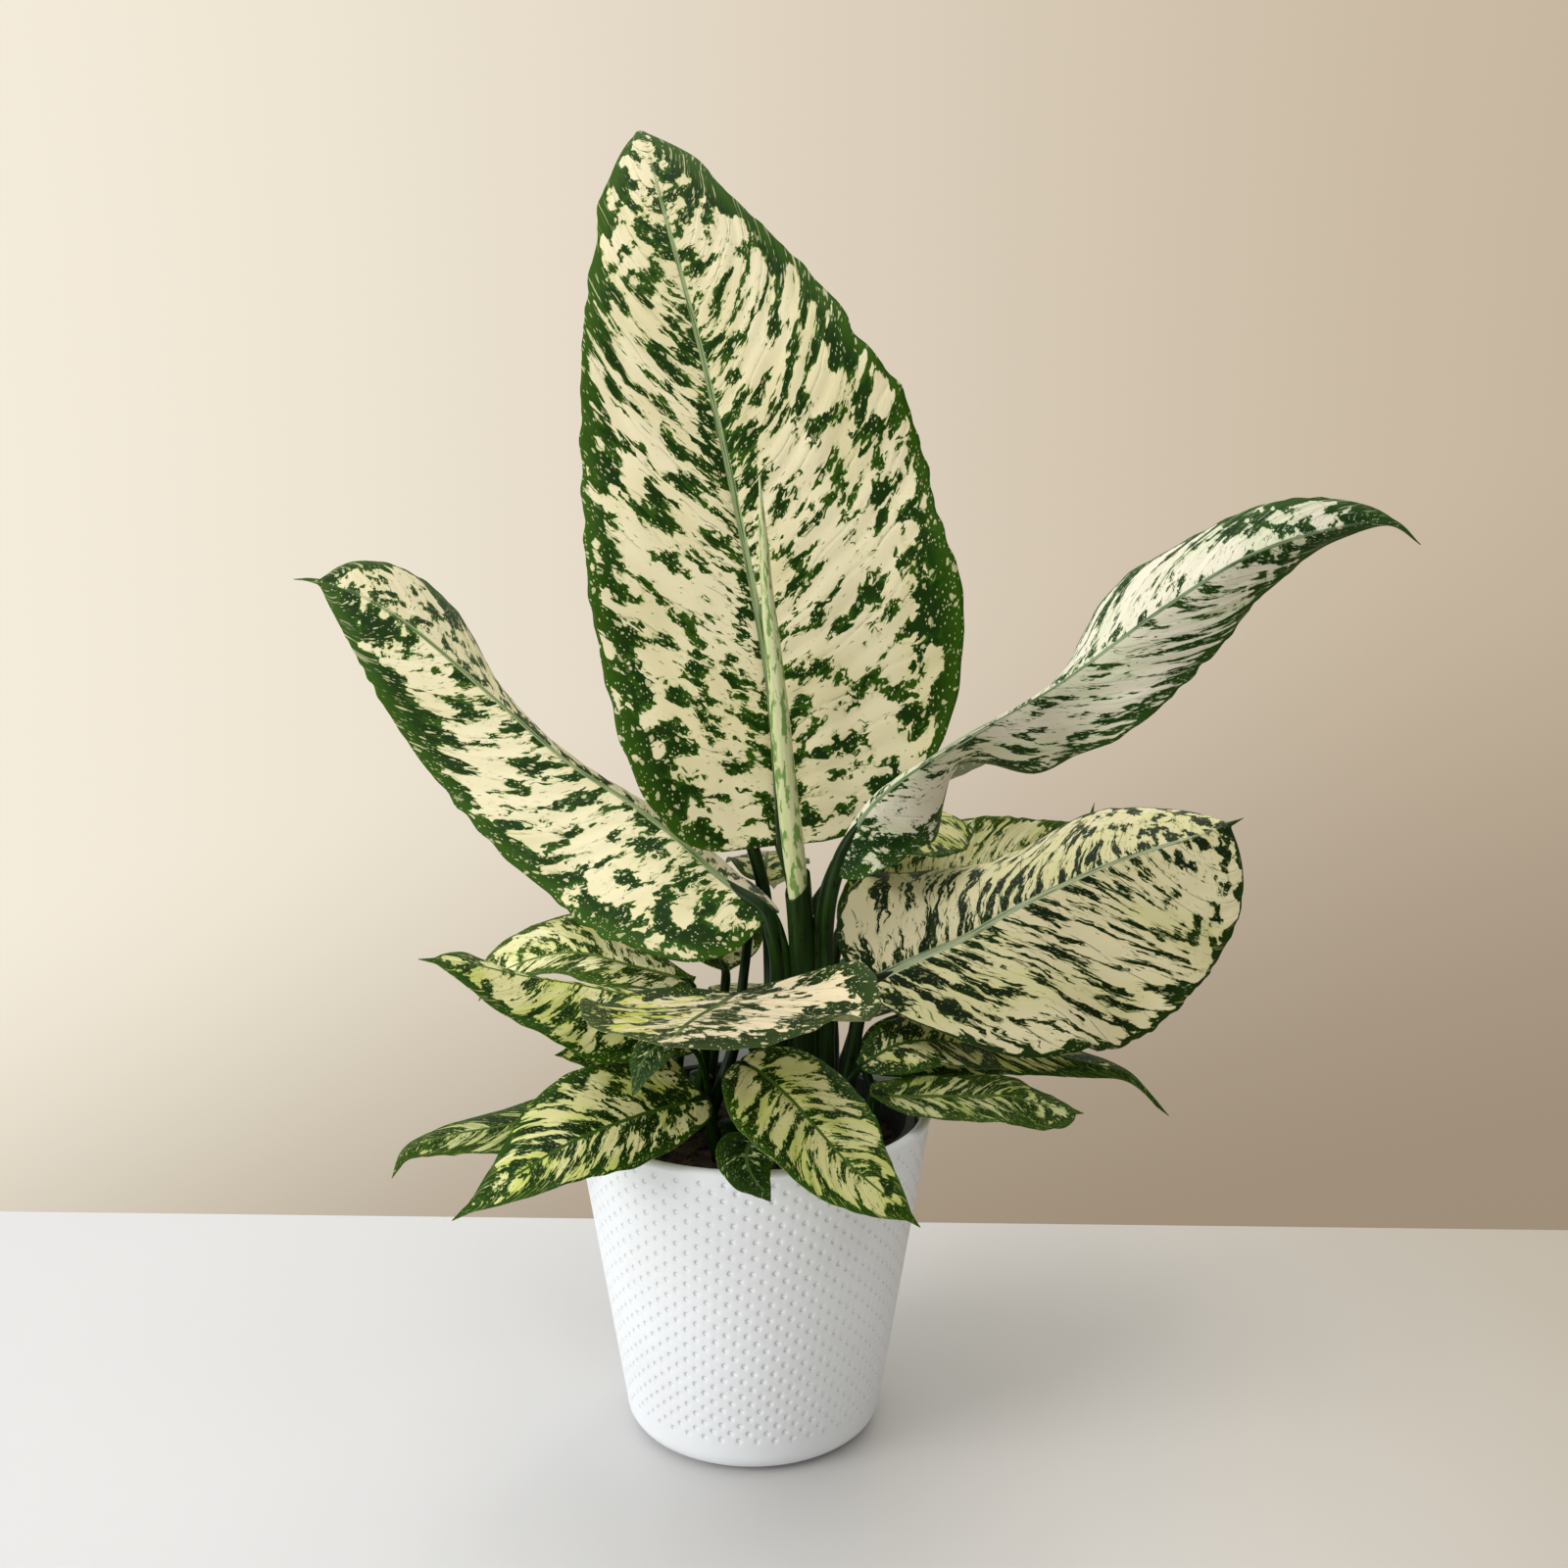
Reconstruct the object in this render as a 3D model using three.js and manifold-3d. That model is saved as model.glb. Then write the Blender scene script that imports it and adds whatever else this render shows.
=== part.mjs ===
// A potted dieffenbachia: a glazed pot on three small pads, a nursery pot of soil inside it, one
// tall shoot with broad variegated leaves and a rolled young leaf, and side shoots with smaller
// leaves. Millimetres, +Z up. The origin is on the ground, under the middle of the pot, and the
// front of the plant faces -Y.

import * as THREE from 'three';
import { mergeVertices } from 'three/addons/utils/BufferGeometryUtils.js';
import Module from 'manifold-3d';

const wasm = await Module();
wasm.setup();

// ---- Driving dimensions -------------------------------------------------------------------------

const GAP = 0.3; // clearance kept between neighbouring pieces

const PAD_COUNT = 3;
const PAD_RADIUS = 5.5;
const PAD_HEIGHT = 1.5;
const PAD_CIRCLE_RADIUS = 41;
const PAD_FIRST_ANGLE = THREE.MathUtils.degToRad(-110);
const PAD_SIDES = 16;

const POT_HEIGHT = 140; // rim above the ground
const POT_RIM_RADIUS = 75;
const POT_WALL_START_RADIUS = 53; // where the straight wall would meet the ground
const POT_FOOT_RADIUS = 47;
const POT_WALL = 4.5;
const POT_FLOOR = 6;
const POT_CORNER_HEIGHT = 9; // height of the rounded bottom corner
const POT_SIDES = 48;
const ARC_STEPS = 4;

const LINER_TOP = 134; // rim of the nursery pot, just under the rim of the outer pot
const LINER_RADIUS = 66;
const LINER_BASE_RADIUS = 44;
const LINER_WALL = 1.5;
const LINER_LIP = 2; // how far its rim stands out
const LINER_LIP_HEIGHT = 8;
const LINER_SIDES = 36;
const DRAIN_COUNT = 6;
const DRAIN_RADIUS = 4;
const DRAIN_CIRCLE_RADIUS = 28;

const SOIL_TOP = 122; // at the wall
const SOIL_MOUND = 3; // how much higher it is in the middle
const SOIL_SHOULDER = { reach: 0.5, rise: 0.8 }; // shares of its radius and of its mound
const SOIL_SIDES = 32;

const BLADE_THICKNESS = 0.9;
const RIB_HEIGHT = 1.6; // midrib relief under a blade, at its base
const RIB_SHARE = 0.08; // share of a half's width that the midrib covers
const VEIN_SWEEP = 0.2; // how far the side veins lean towards the tip
const VEIN_BEND = 1.3; // how late on their way out they lean
const ROW_EASE = 0.6; // how much the rows crowd at the base and the tip
const DRIP_SHARE = 0.05; // share of a leaf's length that is its narrow point
const DRIP_WIDTH = 1.6; // half width where the narrow point starts
const LOBE_END = 0.3; // share of the length that the rounded base lobes take up
const NECK_FADE = 8; // how soon a blade stops being as wide as its stalk
const SLOPE_STEP = 1e-3; // share of the length over which a blade's slope is measured
const STALK_JOINS = [0.01, 0.06, 0.12]; // shares of the blade that the stalk runs on under
const STALK_SINK = 0.4; // how deep it lies there, as a share of its radius
const STALK_END_RADIUS = 1;
const STALK_SIDES = 6;
const STALK_STEPS = 6;
const SHOOT_SIDES = 10;
const SHOOT_STEPS = 5;
const SPEAR_STEPS = 12;
const SHEATH_STEPS = 6;
const SHEATH_CUTTER = 60; // size of the block that cuts the sheath's mouth

// The shoots stand in the soil. Each is a line from its foot to its top, with its radius at both.
const SHOOTS = [
  { name: 'shoot_main', line: [[20, 4, 100], [20, 4, 126], [20, 4, 150]], radii: [10.5, 10] },
  { name: 'shoot_left', line: [[-30, 14, 104], [-27, 14, 126], [-22, 14, 148]], radii: [6, 5] },
  { name: 'shoot_front', line: [[-6, -30, 104], [-7, -34, 126], [-9, -38, 146]], radii: [6, 5] },
  { name: 'shoot_right', line: [[42, -16, 104], [43, -17, 126], [44, -19, 142]], radii: [6, 5] },
];

// The rolled young leaf, and the sheath that it grows out of.
const SPEAR = {
  line: [[20.5, -2, 150.3], [20.5, -2, 200], [19, -1, 229], [16, 0, 255], [13, 3, 283],
    [10, 8, 315], [6, 14, 354], [3, 22, 399]],
  radii: [3.6, 3.6, 4.2, 4.8, 4.4, 3.6, 2.4, 0.5],
};
const SHEATH = {
  line: [[20.5, -2, 150.3], [20.5, -2, 200], [19, -1, 229], [16.5, 0, 250]],
  radii: [4.8, 4.8, 5.4, 5.9],
  bore: [3.95, 3.95, 4.55, 5.15],
  mouth: [19, -1, 234], // where the slanting mouth crosses the middle of the sheath
  mouthFace: [-0.6, -0.5, 0.7],
};

// A leaf is a midrib from base to tip, the way its upper face looks along it, and two halves. A
// half has its greatest width, two exponents that round its base and its tip, and two lists of
// angles in degrees, from base to tip: how it is lifted from the midrib and how it curls on from
// there. The left half is on the left when the upper face is seen with the tip up. A stalk runs
// from its root to the base of the blade, with its radius at both ends.
const LEAVES = [
  {
    name: 'leaf_upright',
    midrib: [[12, 12, 248], [7, 26, 312], [-5, 42, 377], [-22, 62, 450], [-38, 86, 508], [-50, 116, 547],
      [-55, 134, 549]],
    faces: [[0, -1, 0.2], [0, -1, 0.3], [0.1, -1, 0.6]],
    left: { width: 69, base: 0.3, tip: 0.74, lift: [12, 8, 0], curl: [0, -10, -20] },
    right: { width: 88, base: 0.46, tip: 0.94, lift: [-7, 4, 0], curl: [0, -8, -20] },
    lobe: 8,
    wave: { height: 3, count: 3.5 },
    stalk: [[20, 9.5, 150.3], [20, 9.5, 200], [17, 11, 232]],
    stalkRadii: [4.5, 3.4],
    rows: 18,
    columns: 4,
  },
  {
    name: 'leaf_left_high',
    midrib: [[7, 0, 222], [-14, 12, 235], [-31, 26, 247], [-53, 42, 260], [-82, 56, 276], [-115, 68, 302],
      [-157, 80, 335], [-180, 86, 347], [-200, 92, 352], [-208, 94, 352]],
    faces: [[0.1, -0.8, 0.6], [0.07, -0.86, 0.5], [0, -0.95, 0.4]],
    left: { width: 58, base: 0.42, tip: 0.72, lift: [-15, -25, -10], curl: [-10, -25, -10] },
    right: { width: 52, base: 0.4, tip: 0.4, lift: [-40, -60, -20], curl: [-40, -50, -20] },
    lobe: 6,
    wave: { height: 2, count: 3 },
    stalk: [[11, 0, 150.3], [11, 0, 190], [9, -1, 210]],
    stalkRadii: [4.5, 3.4],
    rows: 18,
    columns: 4,
  },
  {
    name: 'leaf_right_high',
    midrib: [[33, -5, 240], [40, -8, 257], [52, -9, 273], [83, -6, 294], [122, 5, 315], [175, 24, 349],
      [208, 32, 367], [242, 38, 377], [268, 42, 379], [281, 44, 370]],
    faces: [[-0.3, -0.8, 0.5], [-0.1, -0.8, 0.6], [0, -0.9, 0.4], [0.1, -1, 0.2]],
    left: { width: 44, base: 0.7, tip: 0.85, lift: [-40, -60, -30, 0], curl: [-60, -60, -30, -10] },
    right: {
      width: 38,
      base: 0.5,
      tip: 0.95,
      lift: [0, -40, -85, -50, -15, -15, -35, -60, -60],
      curl: [-20, -30, -10, 0],
    },
    lobe: 3,
    wave: { height: 3, count: 4 },
    stalk: [[30, 0, 150.3], [30, 0, 200], [31, -3, 225]],
    stalkRadii: [4.5, 3.4],
    rows: 20,
    columns: 4,
  },
  {
    name: 'leaf_right_broad',
    midrib: [[46, 2, 190], [67, 14, 197], [91, 27, 204], [110, 38, 212], [136, 52, 221], [160, 64, 228],
      [181, 75, 232], [201, 86, 235], [217, 96, 238], [228, 104, 240]],
    faces: [[0, -0.6, 0.8], [0, -0.6, 0.8], [0, -0.6, 0.8]],
    left: { width: 62, base: 0.45, tip: 0.5, lift: [20, -15, -5], curl: [-10, -40, -20] },
    right: { width: 75, base: 0.6, tip: 0.56, lift: [0, -20, -20], curl: [0, -20, -10] },
    lobe: 12,
    wave: { height: 2, count: 3 },
    stalk: [[33.3, -0.3, 126], [40, 1, 150], [44, 2, 176]],
    stalkRadii: [4.2, 3.2],
    rows: 18,
    columns: 4,
  },
  {
    name: 'leaf_right_back',
    midrib: [[38, 44, 205], [76, 82, 209], [107, 114, 210], [139, 141, 214], [158, 157, 219],
      [166, 165, 224], [170, 171, 234]],
    faces: [[-0.1, -0.6, 0.8], [-0.1, -0.6, 0.8], [0, -0.8, 0.6]],
    left: { width: 30, base: 0.6, tip: 0.8, lift: [30, 30, 20], curl: [0, 10, 0] },
    right: { width: 14, base: 0.5, tip: 0.8, lift: [0, 0, 0], curl: [0, 0, 0] },
    lobe: 3,
    wave: { height: 1.5, count: 2 },
    stalk: [[32.9, 9.2, 128], [33, 12, 160], [34, 28, 190]],
    stalkRadii: [3.6, 2.8],
    rows: 14,
    columns: 3,
  },
  {
    name: 'leaf_right_far',
    midrib: [[46, 56, 238], [58, 64, 244], [74, 78, 246], [92, 94, 242], [104, 106, 233]],
    faces: [[-0.3, -0.5, 0.8], [-0.2, -0.5, 0.8], [0, -0.5, 0.8]],
    left: { width: 22, base: 0.5, tip: 0.8, lift: [0, -10, -10], curl: [0, -10, -10] },
    right: { width: 28, base: 0.5, tip: 0.8, lift: [0, -10, -10], curl: [0, -10, -10] },
    lobe: 3,
    wave: { height: 1.5, count: 2 },
    stalk: [[22.7, 16.7, 126], [19, 28, 160], [20, 50, 200]],
    stalkRadii: [3, 2.4],
    rows: 12,
    columns: 3,
  },
  {
    name: 'leaf_back_pale',
    midrib: [[4, 56, 222], [5, 72, 228], [6, 98, 226], [8, 122, 214], [8, 144, 196]],
    faces: [[0, -0.3, 1], [0, -0.2, 1], [0, 0.4, 1]],
    left: { width: 20, base: 0.5, tip: 0.8, lift: [0, -10, -10], curl: [0, -10, -10] },
    right: { width: 20, base: 0.5, tip: 0.8, lift: [0, -10, -10], curl: [0, -10, -10] },
    lobe: 3,
    wave: { height: 1.5, count: 2 },
    stalk: [[-18.6, 14, 128], [-8, 20, 160], [-4, 28, 190], [-1, 44, 210]],
    stalkRadii: [2.8, 2.2],
    rows: 12,
    columns: 3,
  },
  {
    name: 'leaf_front',
    midrib: [[-7, -8, 190], [-12, -40, 196], [-19, -75, 202], [-23, -108, 208], [-27, -140, 211]],
    faces: [[0, 0, 1], [0, -0.05, 1], [0, -0.1, 1]],
    left: { width: 66, base: 0.4, tip: 0.7, lift: [5, 0, -5], curl: [25, 5, 0] },
    right: { width: 50, base: 0.4, tip: 0.7, lift: [-15, -15, -5], curl: [30, 30, 10] },
    lobe: 10,
    wave: { height: 3, count: 2 },
    stalk: [[13, -6, 130], [6, -10, 150], [-2, -9, 176]],
    stalkRadii: [3.6, 2.8],
    rows: 14,
    columns: 4,
  },
  {
    name: 'leaf_left_low',
    midrib: [[-20, -6, 174], [-38, -12, 187], [-66, -20, 197], [-90, -30, 204], [-112, -40, 212],
      [-128, -48, 216]],
    faces: [[0, -0.4, 0.9], [-0.1, -0.4, 0.9], [-0.2, -0.5, 0.8]],
    left: { width: 34, base: 0.5, tip: 0.8, lift: [-5, -15, 0], curl: [0, -10, 0] },
    right: { width: 30, base: 0.5, tip: 0.8, lift: [-20, -35, -10], curl: [-10, -20, 0] },
    lobe: 4,
    wave: { height: 1.5, count: 2 },
    stalk: [[-24.9, 6.3, 128], [-21, 2, 150]],
    stalkRadii: [3, 2.4],
    rows: 14,
    columns: 3,
  },
  {
    name: 'leaf_left_back',
    midrib: [[-26, 22, 186], [-54, 30, 191], [-76, 38, 194], [-93, 42, 191], [-113, 44, 182],
      [-122, 44, 170]],
    faces: [[0, -0.3, 0.95], [0, -0.3, 0.95], [-0.3, -0.5, 0.8]],
    left: { width: 14, base: 0.5, tip: 0.8, lift: [-20, -20, -20], curl: [0, 0, 0] },
    right: { width: 23, base: 1, tip: 0.6, lift: [5, 10, 5], curl: [0, 5, 0] },
    lobe: 3,
    wave: { height: 1.5, count: 2 },
    stalk: [[-34.2, 18.2, 128], [-33, 18, 150], [-28, 19, 172]],
    stalkRadii: [3, 2.4],
    rows: 14,
    columns: 3,
  },
  {
    name: 'leaf_back_left',
    midrib: [[-12, 46, 184], [-26, 70, 197], [-44, 98, 202], [-60, 126, 194], [-72, 146, 178]],
    faces: [[0.2, -0.4, 1], [0, -0.2, 1], [-0.2, 0.3, 1]],
    left: { width: 26, base: 0.6, tip: 0.8, lift: [10, 0, -10], curl: [0, -10, -10] },
    right: { width: 34, base: 0.5, tip: 0.8, lift: [10, 0, -10], curl: [0, -10, -10] },
    lobe: 3,
    wave: { height: 1.5, count: 2 },
    stalk: [[-21.7, 20.4, 128], [-18, 30, 150], [-14, 40, 170]],
    stalkRadii: [2.8, 2.2],
    rows: 12,
    columns: 3,
  },
  {
    name: 'leaf_left_under',
    midrib: [[-27, -24, 158], [-48, -28, 168], [-65, -32, 173], [-78, -36, 173]],
    faces: [[0, -0.4, 0.9], [0, -0.4, 0.9], [-0.2, -0.5, 0.8]],
    left: { width: 15, base: 0.5, tip: 0.7, lift: [0, 0, 0], curl: [0, 0, 0] },
    right: { width: 16, base: 0.5, tip: 0.8, lift: [-10, -10, -10], curl: [0, 0, 0] },
    lobe: 2,
    wave: { height: 1, count: 2 },
    stalk: [[-30.9, 7.2, 132], [-29, -8, 148]],
    stalkRadii: [2.2, 1.7],
    rows: 12,
    columns: 2,
  },
  {
    name: 'leaf_small_hanging',
    midrib: [[-26, -60, 187], [-32, -64, 189], [-40, -69, 183], [-44, -73, 170]],
    faces: [[0.2, -0.6, 0.8], [-0.4, -0.7, 0.6]],
    left: { width: 9, base: 0.5, tip: 0.8, lift: [10, 0], curl: [0, 0] },
    right: { width: 9, base: 0.5, tip: 0.8, lift: [-20, -30], curl: [0, 0] },
    lobe: 1,
    wave: { height: 0.5, count: 1 },
    stalk: [[-14.6, -33.5, 136], [-17, -34, 156], [-21, -50, 179]],
    stalkRadii: [1.8, 1.2],
    rows: 8,
    columns: 2,
  },
  {
    name: 'leaf_front_left',
    midrib: [[-18, -42, 158], [-43, -62, 158], [-66, -78, 154], [-86, -92, 146], [-108, -102, 133]],
    faces: [[0, -0.5, 0.85], [0, -0.5, 0.85], [-0.2, -0.5, 0.8]],
    left: { width: 21, base: 0.55, tip: 0.9, lift: [0, -5, 0], curl: [0, 0, 0] },
    right: { width: 30, base: 0.55, tip: 1.1, lift: [0, 5, 0], curl: [0, 0, 0] },
    lobe: 4,
    wave: { height: 1, count: 2 },
    stalk: [[-13.5, -38.5, 130], [-16, -40, 146]],
    stalkRadii: [2.6, 2.2],
    rows: 14,
    columns: 3,
  },
  {
    name: 'leaf_front_right',
    midrib: [[-5, -40, 172], [2, -46, 171], [15, -58, 164], [23, -67, 158], [37, -80, 146], [46, -84, 139],
      [56, -86, 131], [64, -86, 123]],
    faces: [[0.2, -0.5, 0.85], [0.2, -0.5, 0.85], [0.3, -0.6, 0.7]],
    left: { width: 26, base: 0.55, tip: 0.9, lift: [0, 0, 0], curl: [0, 0, 0] },
    right: { width: 27, base: 0.55, tip: 0.9, lift: [0, 0, 0], curl: [0, 0, 0] },
    lobe: 4,
    wave: { height: 1, count: 2 },
    stalk: [[-1.5, -39, 130], [-3, -42, 150]],
    stalkRadii: [2.6, 2.2],
    rows: 14,
    columns: 3,
  },
  {
    name: 'leaf_far_left',
    midrib: [[-40, -20, 150], [-60, -30, 152], [-81, -38, 149], [-100, -40, 145], [-122, -44, 142],
      [-136, -48, 137], [-141, -52, 128]],
    faces: [[0, -0.4, 0.9], [0, -0.4, 0.9], [-0.2, -0.5, 0.8]],
    left: { width: 14, base: 0.5, tip: 0.8, lift: [0, -20, -20], curl: [0, 0, 0] },
    right: { width: 16, base: 0.5, tip: 0.8, lift: [0, -20, -20], curl: [0, 0, 0] },
    lobe: 2,
    wave: { height: 1, count: 2 },
    stalk: [[-34.5, 11.3, 128], [-37, -2, 142]],
    stalkRadii: [2.4, 1.8],
    rows: 12,
    columns: 2,
  },
  {
    name: 'leaf_right_drooping',
    midrib: [[46, 0, 157], [71, 8, 161], [97, 20, 159], [124, 32, 151], [147, 40, 143], [166, 44, 136],
      [186, 48, 115]],
    faces: [[0, -0.5, 0.85], [0, -0.5, 0.85], [0.2, -0.5, 0.8]],
    left: { width: 24, base: 0.5, tip: 1.4, lift: [0, -20, -20], curl: [0, 0, 0] },
    right: { width: 17, base: 0.5, tip: 1.4, lift: [0, -20, -20], curl: [0, 0, 0] },
    lobe: 2,
    wave: { height: 1, count: 2 },
    stalk: [[49, -16, 128], [51, -10, 144]],
    stalkRadii: [2.6, 2],
    rows: 12,
    columns: 2,
  },
  {
    name: 'leaf_right_front',
    midrib: [[48, -30, 156], [59, -28, 153], [74, -25, 152], [90, -20, 150], [105, -15, 148],
      [116, -12, 144], [132, -8, 139], [138, -6, 137]],
    faces: [[0, -0.5, 0.85], [0, -0.5, 0.85], [0.2, -0.5, 0.8]],
    left: { width: 12, base: 0.5, tip: 0.6, lift: [0, 0, 0], curl: [0, 0, 0] },
    right: { width: 15, base: 0.6, tip: 0.4, lift: [0, 0, 0], curl: [0, 0, 0] },
    lobe: 2,
    wave: { height: 1, count: 2 },
    stalk: [[45, -23, 128], [46, -27, 144]],
    stalkRadii: [2.4, 1.8],
    rows: 12,
    columns: 2,
  },
  {
    name: 'leaf_over_rim',
    midrib: [[2, -62, 150], [-1, -74, 149], [0, -84, 145], [8, -92, 136]],
    faces: [[0, -0.3, 1], [0, -0.5, 0.8]],
    left: { width: 12, base: 0.5, tip: 0.8, lift: [0, 0], curl: [0, 0] },
    right: { width: 12, base: 0.5, tip: 0.8, lift: [0, 0], curl: [0, 0] },
    lobe: 1,
    wave: { height: 1, count: 1 },
    stalk: [[-8.5, -41, 128], [-4, -52, 142]],
    stalkRadii: [1.8, 1.3],
    rows: 8,
    columns: 2,
  },
  {
    name: 'leaf_right_dark',
    midrib: [[44, -14, 161], [60, -8, 168], [77, 0, 167], [94, 7, 160], [108, 14, 149]],
    faces: [[0, -0.4, 0.9], [0, -0.4, 0.9], [0.2, -0.4, 0.9]],
    left: { width: 18, base: 0.8, tip: 0.8, lift: [0, 0, 0], curl: [0, 0, 0] },
    right: { width: 18, base: 0.5, tip: 0.8, lift: [0, 0, 0], curl: [0, 0, 0] },
    lobe: 2,
    wave: { height: 1, count: 2 },
    stalk: [[38, -14, 128], [38, -13, 150]],
    stalkRadii: [2.4, 1.8],
    rows: 12,
    columns: 2,
  },
  {
    name: 'leaf_back_high',
    midrib: [[-8, 54, 262], [-18, 82, 294], [-28, 116, 314], [-36, 154, 312], [-40, 190, 290]],
    faces: [[0, -0.6, 0.8], [0, -0.2, 1], [0, 0.5, 0.9]],
    left: { width: 40, base: 0.5, tip: 0.8, lift: [15, 5, -10], curl: [0, -10, -20] },
    right: { width: 40, base: 0.5, tip: 0.8, lift: [15, 5, -10], curl: [0, -10, -20] },
    lobe: 4,
    wave: { height: 2, count: 3 },
    stalk: [[9.6, 13.4, 126], [8, 24, 180], [4, 41, 222]],
    stalkRadii: [4, 3],
    rows: 12,
    columns: 3,
  },
  {
    name: 'leaf_back_right',
    midrib: [[44, 32, 166], [66, 56, 180], [90, 84, 184], [112, 112, 172], [126, 132, 152]],
    faces: [[-0.2, -0.2, 1], [0, 0, 1], [0.3, 0.3, 1]],
    left: { width: 34, base: 0.5, tip: 0.8, lift: [10, 0, -10], curl: [0, -10, -10] },
    right: { width: 34, base: 0.5, tip: 0.8, lift: [10, 0, -10], curl: [0, -10, -10] },
    lobe: 3,
    wave: { height: 1.5, count: 2 },
    stalk: [[28.4, 14, 132], [38, 24, 148]],
    stalkRadii: [2.4, 2],
    rows: 12,
    columns: 3,
  },
  {
    name: 'leaf_back_low',
    midrib: [[8, 40, 158], [4, 66, 166], [0, 96, 162], [-4, 124, 146]],
    faces: [[0, 0, 1], [0, 0.3, 1], [0, 0.7, 0.8]],
    left: { width: 26, base: 0.5, tip: 0.8, lift: [10, 0, -10], curl: [0, -10, -10] },
    right: { width: 26, base: 0.5, tip: 0.8, lift: [10, 0, -10], curl: [0, -10, -10] },
    lobe: 3,
    wave: { height: 1.5, count: 2 },
    stalk: [[16.9, 16.6, 132], [13, 27, 146]],
    stalkRadii: [2.4, 2],
    rows: 12,
    columns: 2,
  },
  {
    name: 'leaf_back_left_low',
    midrib: [[-44, 32, 156], [-64, 46, 164], [-86, 60, 162], [-106, 74, 148]],
    faces: [[0, 0, 1], [-0.1, 0.2, 1], [-0.4, 0.4, 0.9]],
    left: { width: 24, base: 0.5, tip: 0.8, lift: [10, 0, -10], curl: [0, -10, -10] },
    right: { width: 24, base: 0.5, tip: 0.8, lift: [10, 0, -10], curl: [0, -10, -10] },
    lobe: 3,
    wave: { height: 1.5, count: 2 },
    stalk: [[-28.4, 21.9, 126], [-38, 26, 144]],
    stalkRadii: [2.4, 1.9],
    rows: 12,
    columns: 2,
  },
];

// ---- Numbers along a line -----------------------------------------------------------------------

const toPoint = ([x, y, z]) => new THREE.Vector3(x, y, z);

// The value at a share of the way through evenly spaced stations, eased between neighbours.
function along(stations, share) {
  const place = share * (stations.length - 1);
  const index = Math.max(0, Math.min(Math.floor(place), stations.length - 2));
  const next = Math.min(index + 1, stations.length - 1);
  const blend = THREE.MathUtils.smoothstep(place - index, 0, 1);
  return THREE.MathUtils.lerp(stations[index], stations[next], blend);
}

// The mean of cos (or sin) over an arc that starts at one angle and turns by another.
function arcMean(wave, start, turn) {
  const half = turn / 2;
  const chord = Math.abs(half) < 1e-6 ? 1 : Math.sin(half) / half;
  return wave(start + half) * chord;
}

// ---- Closed bodies ------------------------------------------------------------------------------

// A manifold-3d solid of a closed list of points and triangles.
function toSolid(points, triangles) {
  const mesh = new wasm.Mesh({
    numProp: 3,
    vertProperties: new Float32Array(points.flatMap((p) => [p.x, p.y, p.z])),
    triVerts: new Uint32Array(triangles.flat()),
  });
  return new wasm.Manifold(mesh);
}

// The same for a closed three.js geometry, whose shared vertices are merged first.
function geometryToSolid(geometry) {
  const bare = geometry.clone();
  bare.deleteAttribute('normal');
  bare.deleteAttribute('uv');
  const merged = mergeVertices(bare);
  const points = [];
  for (let i = 0; i < merged.attributes.position.count; i += 1) {
    points.push(new THREE.Vector3().fromBufferAttribute(merged.attributes.position, i));
  }
  const triangles = [];
  for (let i = 0; i < merged.index.count; i += 3) {
    triangles.push([merged.index.getX(i), merged.index.getX(i + 1), merged.index.getX(i + 2)]);
  }
  return toSolid(points, triangles);
}

function toGeometry(solid) {
  const mesh = solid.getMesh();
  const geometry = new THREE.BufferGeometry();
  geometry.setAttribute('position', new THREE.BufferAttribute(mesh.vertProperties, 3));
  geometry.setIndex(new THREE.BufferAttribute(mesh.triVerts, 1));
  geometry.computeVertexNormals();
  return geometry;
}

// A round bar along a list of centre points, with a radius for each share of the way.
function bar(centres, radii, sides, steps) {
  const curve = new THREE.CatmullRomCurve3(centres);
  const frames = curve.computeFrenetFrames(steps, false);
  const points = [];
  for (let i = 0; i <= steps; i += 1) {
    const centre = curve.getPointAt(i / steps);
    const radius = along(radii, i / steps);
    for (let j = 0; j < sides; j += 1) {
      const angle = (2 * Math.PI * j) / sides;
      const rim = centre.clone();
      rim.addScaledVector(frames.normals[i], radius * Math.cos(angle));
      rim.addScaledVector(frames.binormals[i], radius * Math.sin(angle));
      points.push(rim);
    }
  }
  const triangles = [];
  for (let i = 0; i < steps; i += 1) {
    for (let j = 0; j < sides; j += 1) {
      const a = i * sides + j;
      const b = i * sides + ((j + 1) % sides);
      triangles.push([a, b, b + sides], [a, b + sides, a + sides]);
    }
  }
  const last = steps * sides;
  for (let j = 1; j < sides - 1; j += 1) {
    triangles.push([0, j + 1, j], [last, last + j, last + j + 1]);
  }
  return toSolid(points, triangles);
}

// ---- Leaves -------------------------------------------------------------------------------------

// Half width of one half of a blade: a bulge that is round at the base and runs out before the
// tip, and a narrow point beyond it.
function halfWidth(half, neck, share) {
  const body = Math.min(share / (1 - DRIP_SHARE), 1);
  const peak = half.base / (half.base + half.tip);
  const bulge = (body / peak) ** half.base * ((1 - body) / (1 - peak)) ** half.tip;
  const point = DRIP_WIDTH * Math.min((1 - share) / DRIP_SHARE, 1);
  const root = neck * (1 - share) ** NECK_FADE;
  return Math.hypot(half.width * bulge, point, root);
}

// The way a leaf's upper face looks at a share of its length.
function faceAt(leaf, share) {
  const [x, y, z] = [0, 1, 2].map((axis) => along(leaf.faces.map((face) => face[axis]), share));
  return new THREE.Vector3(x, y, z).normalize();
}

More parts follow.
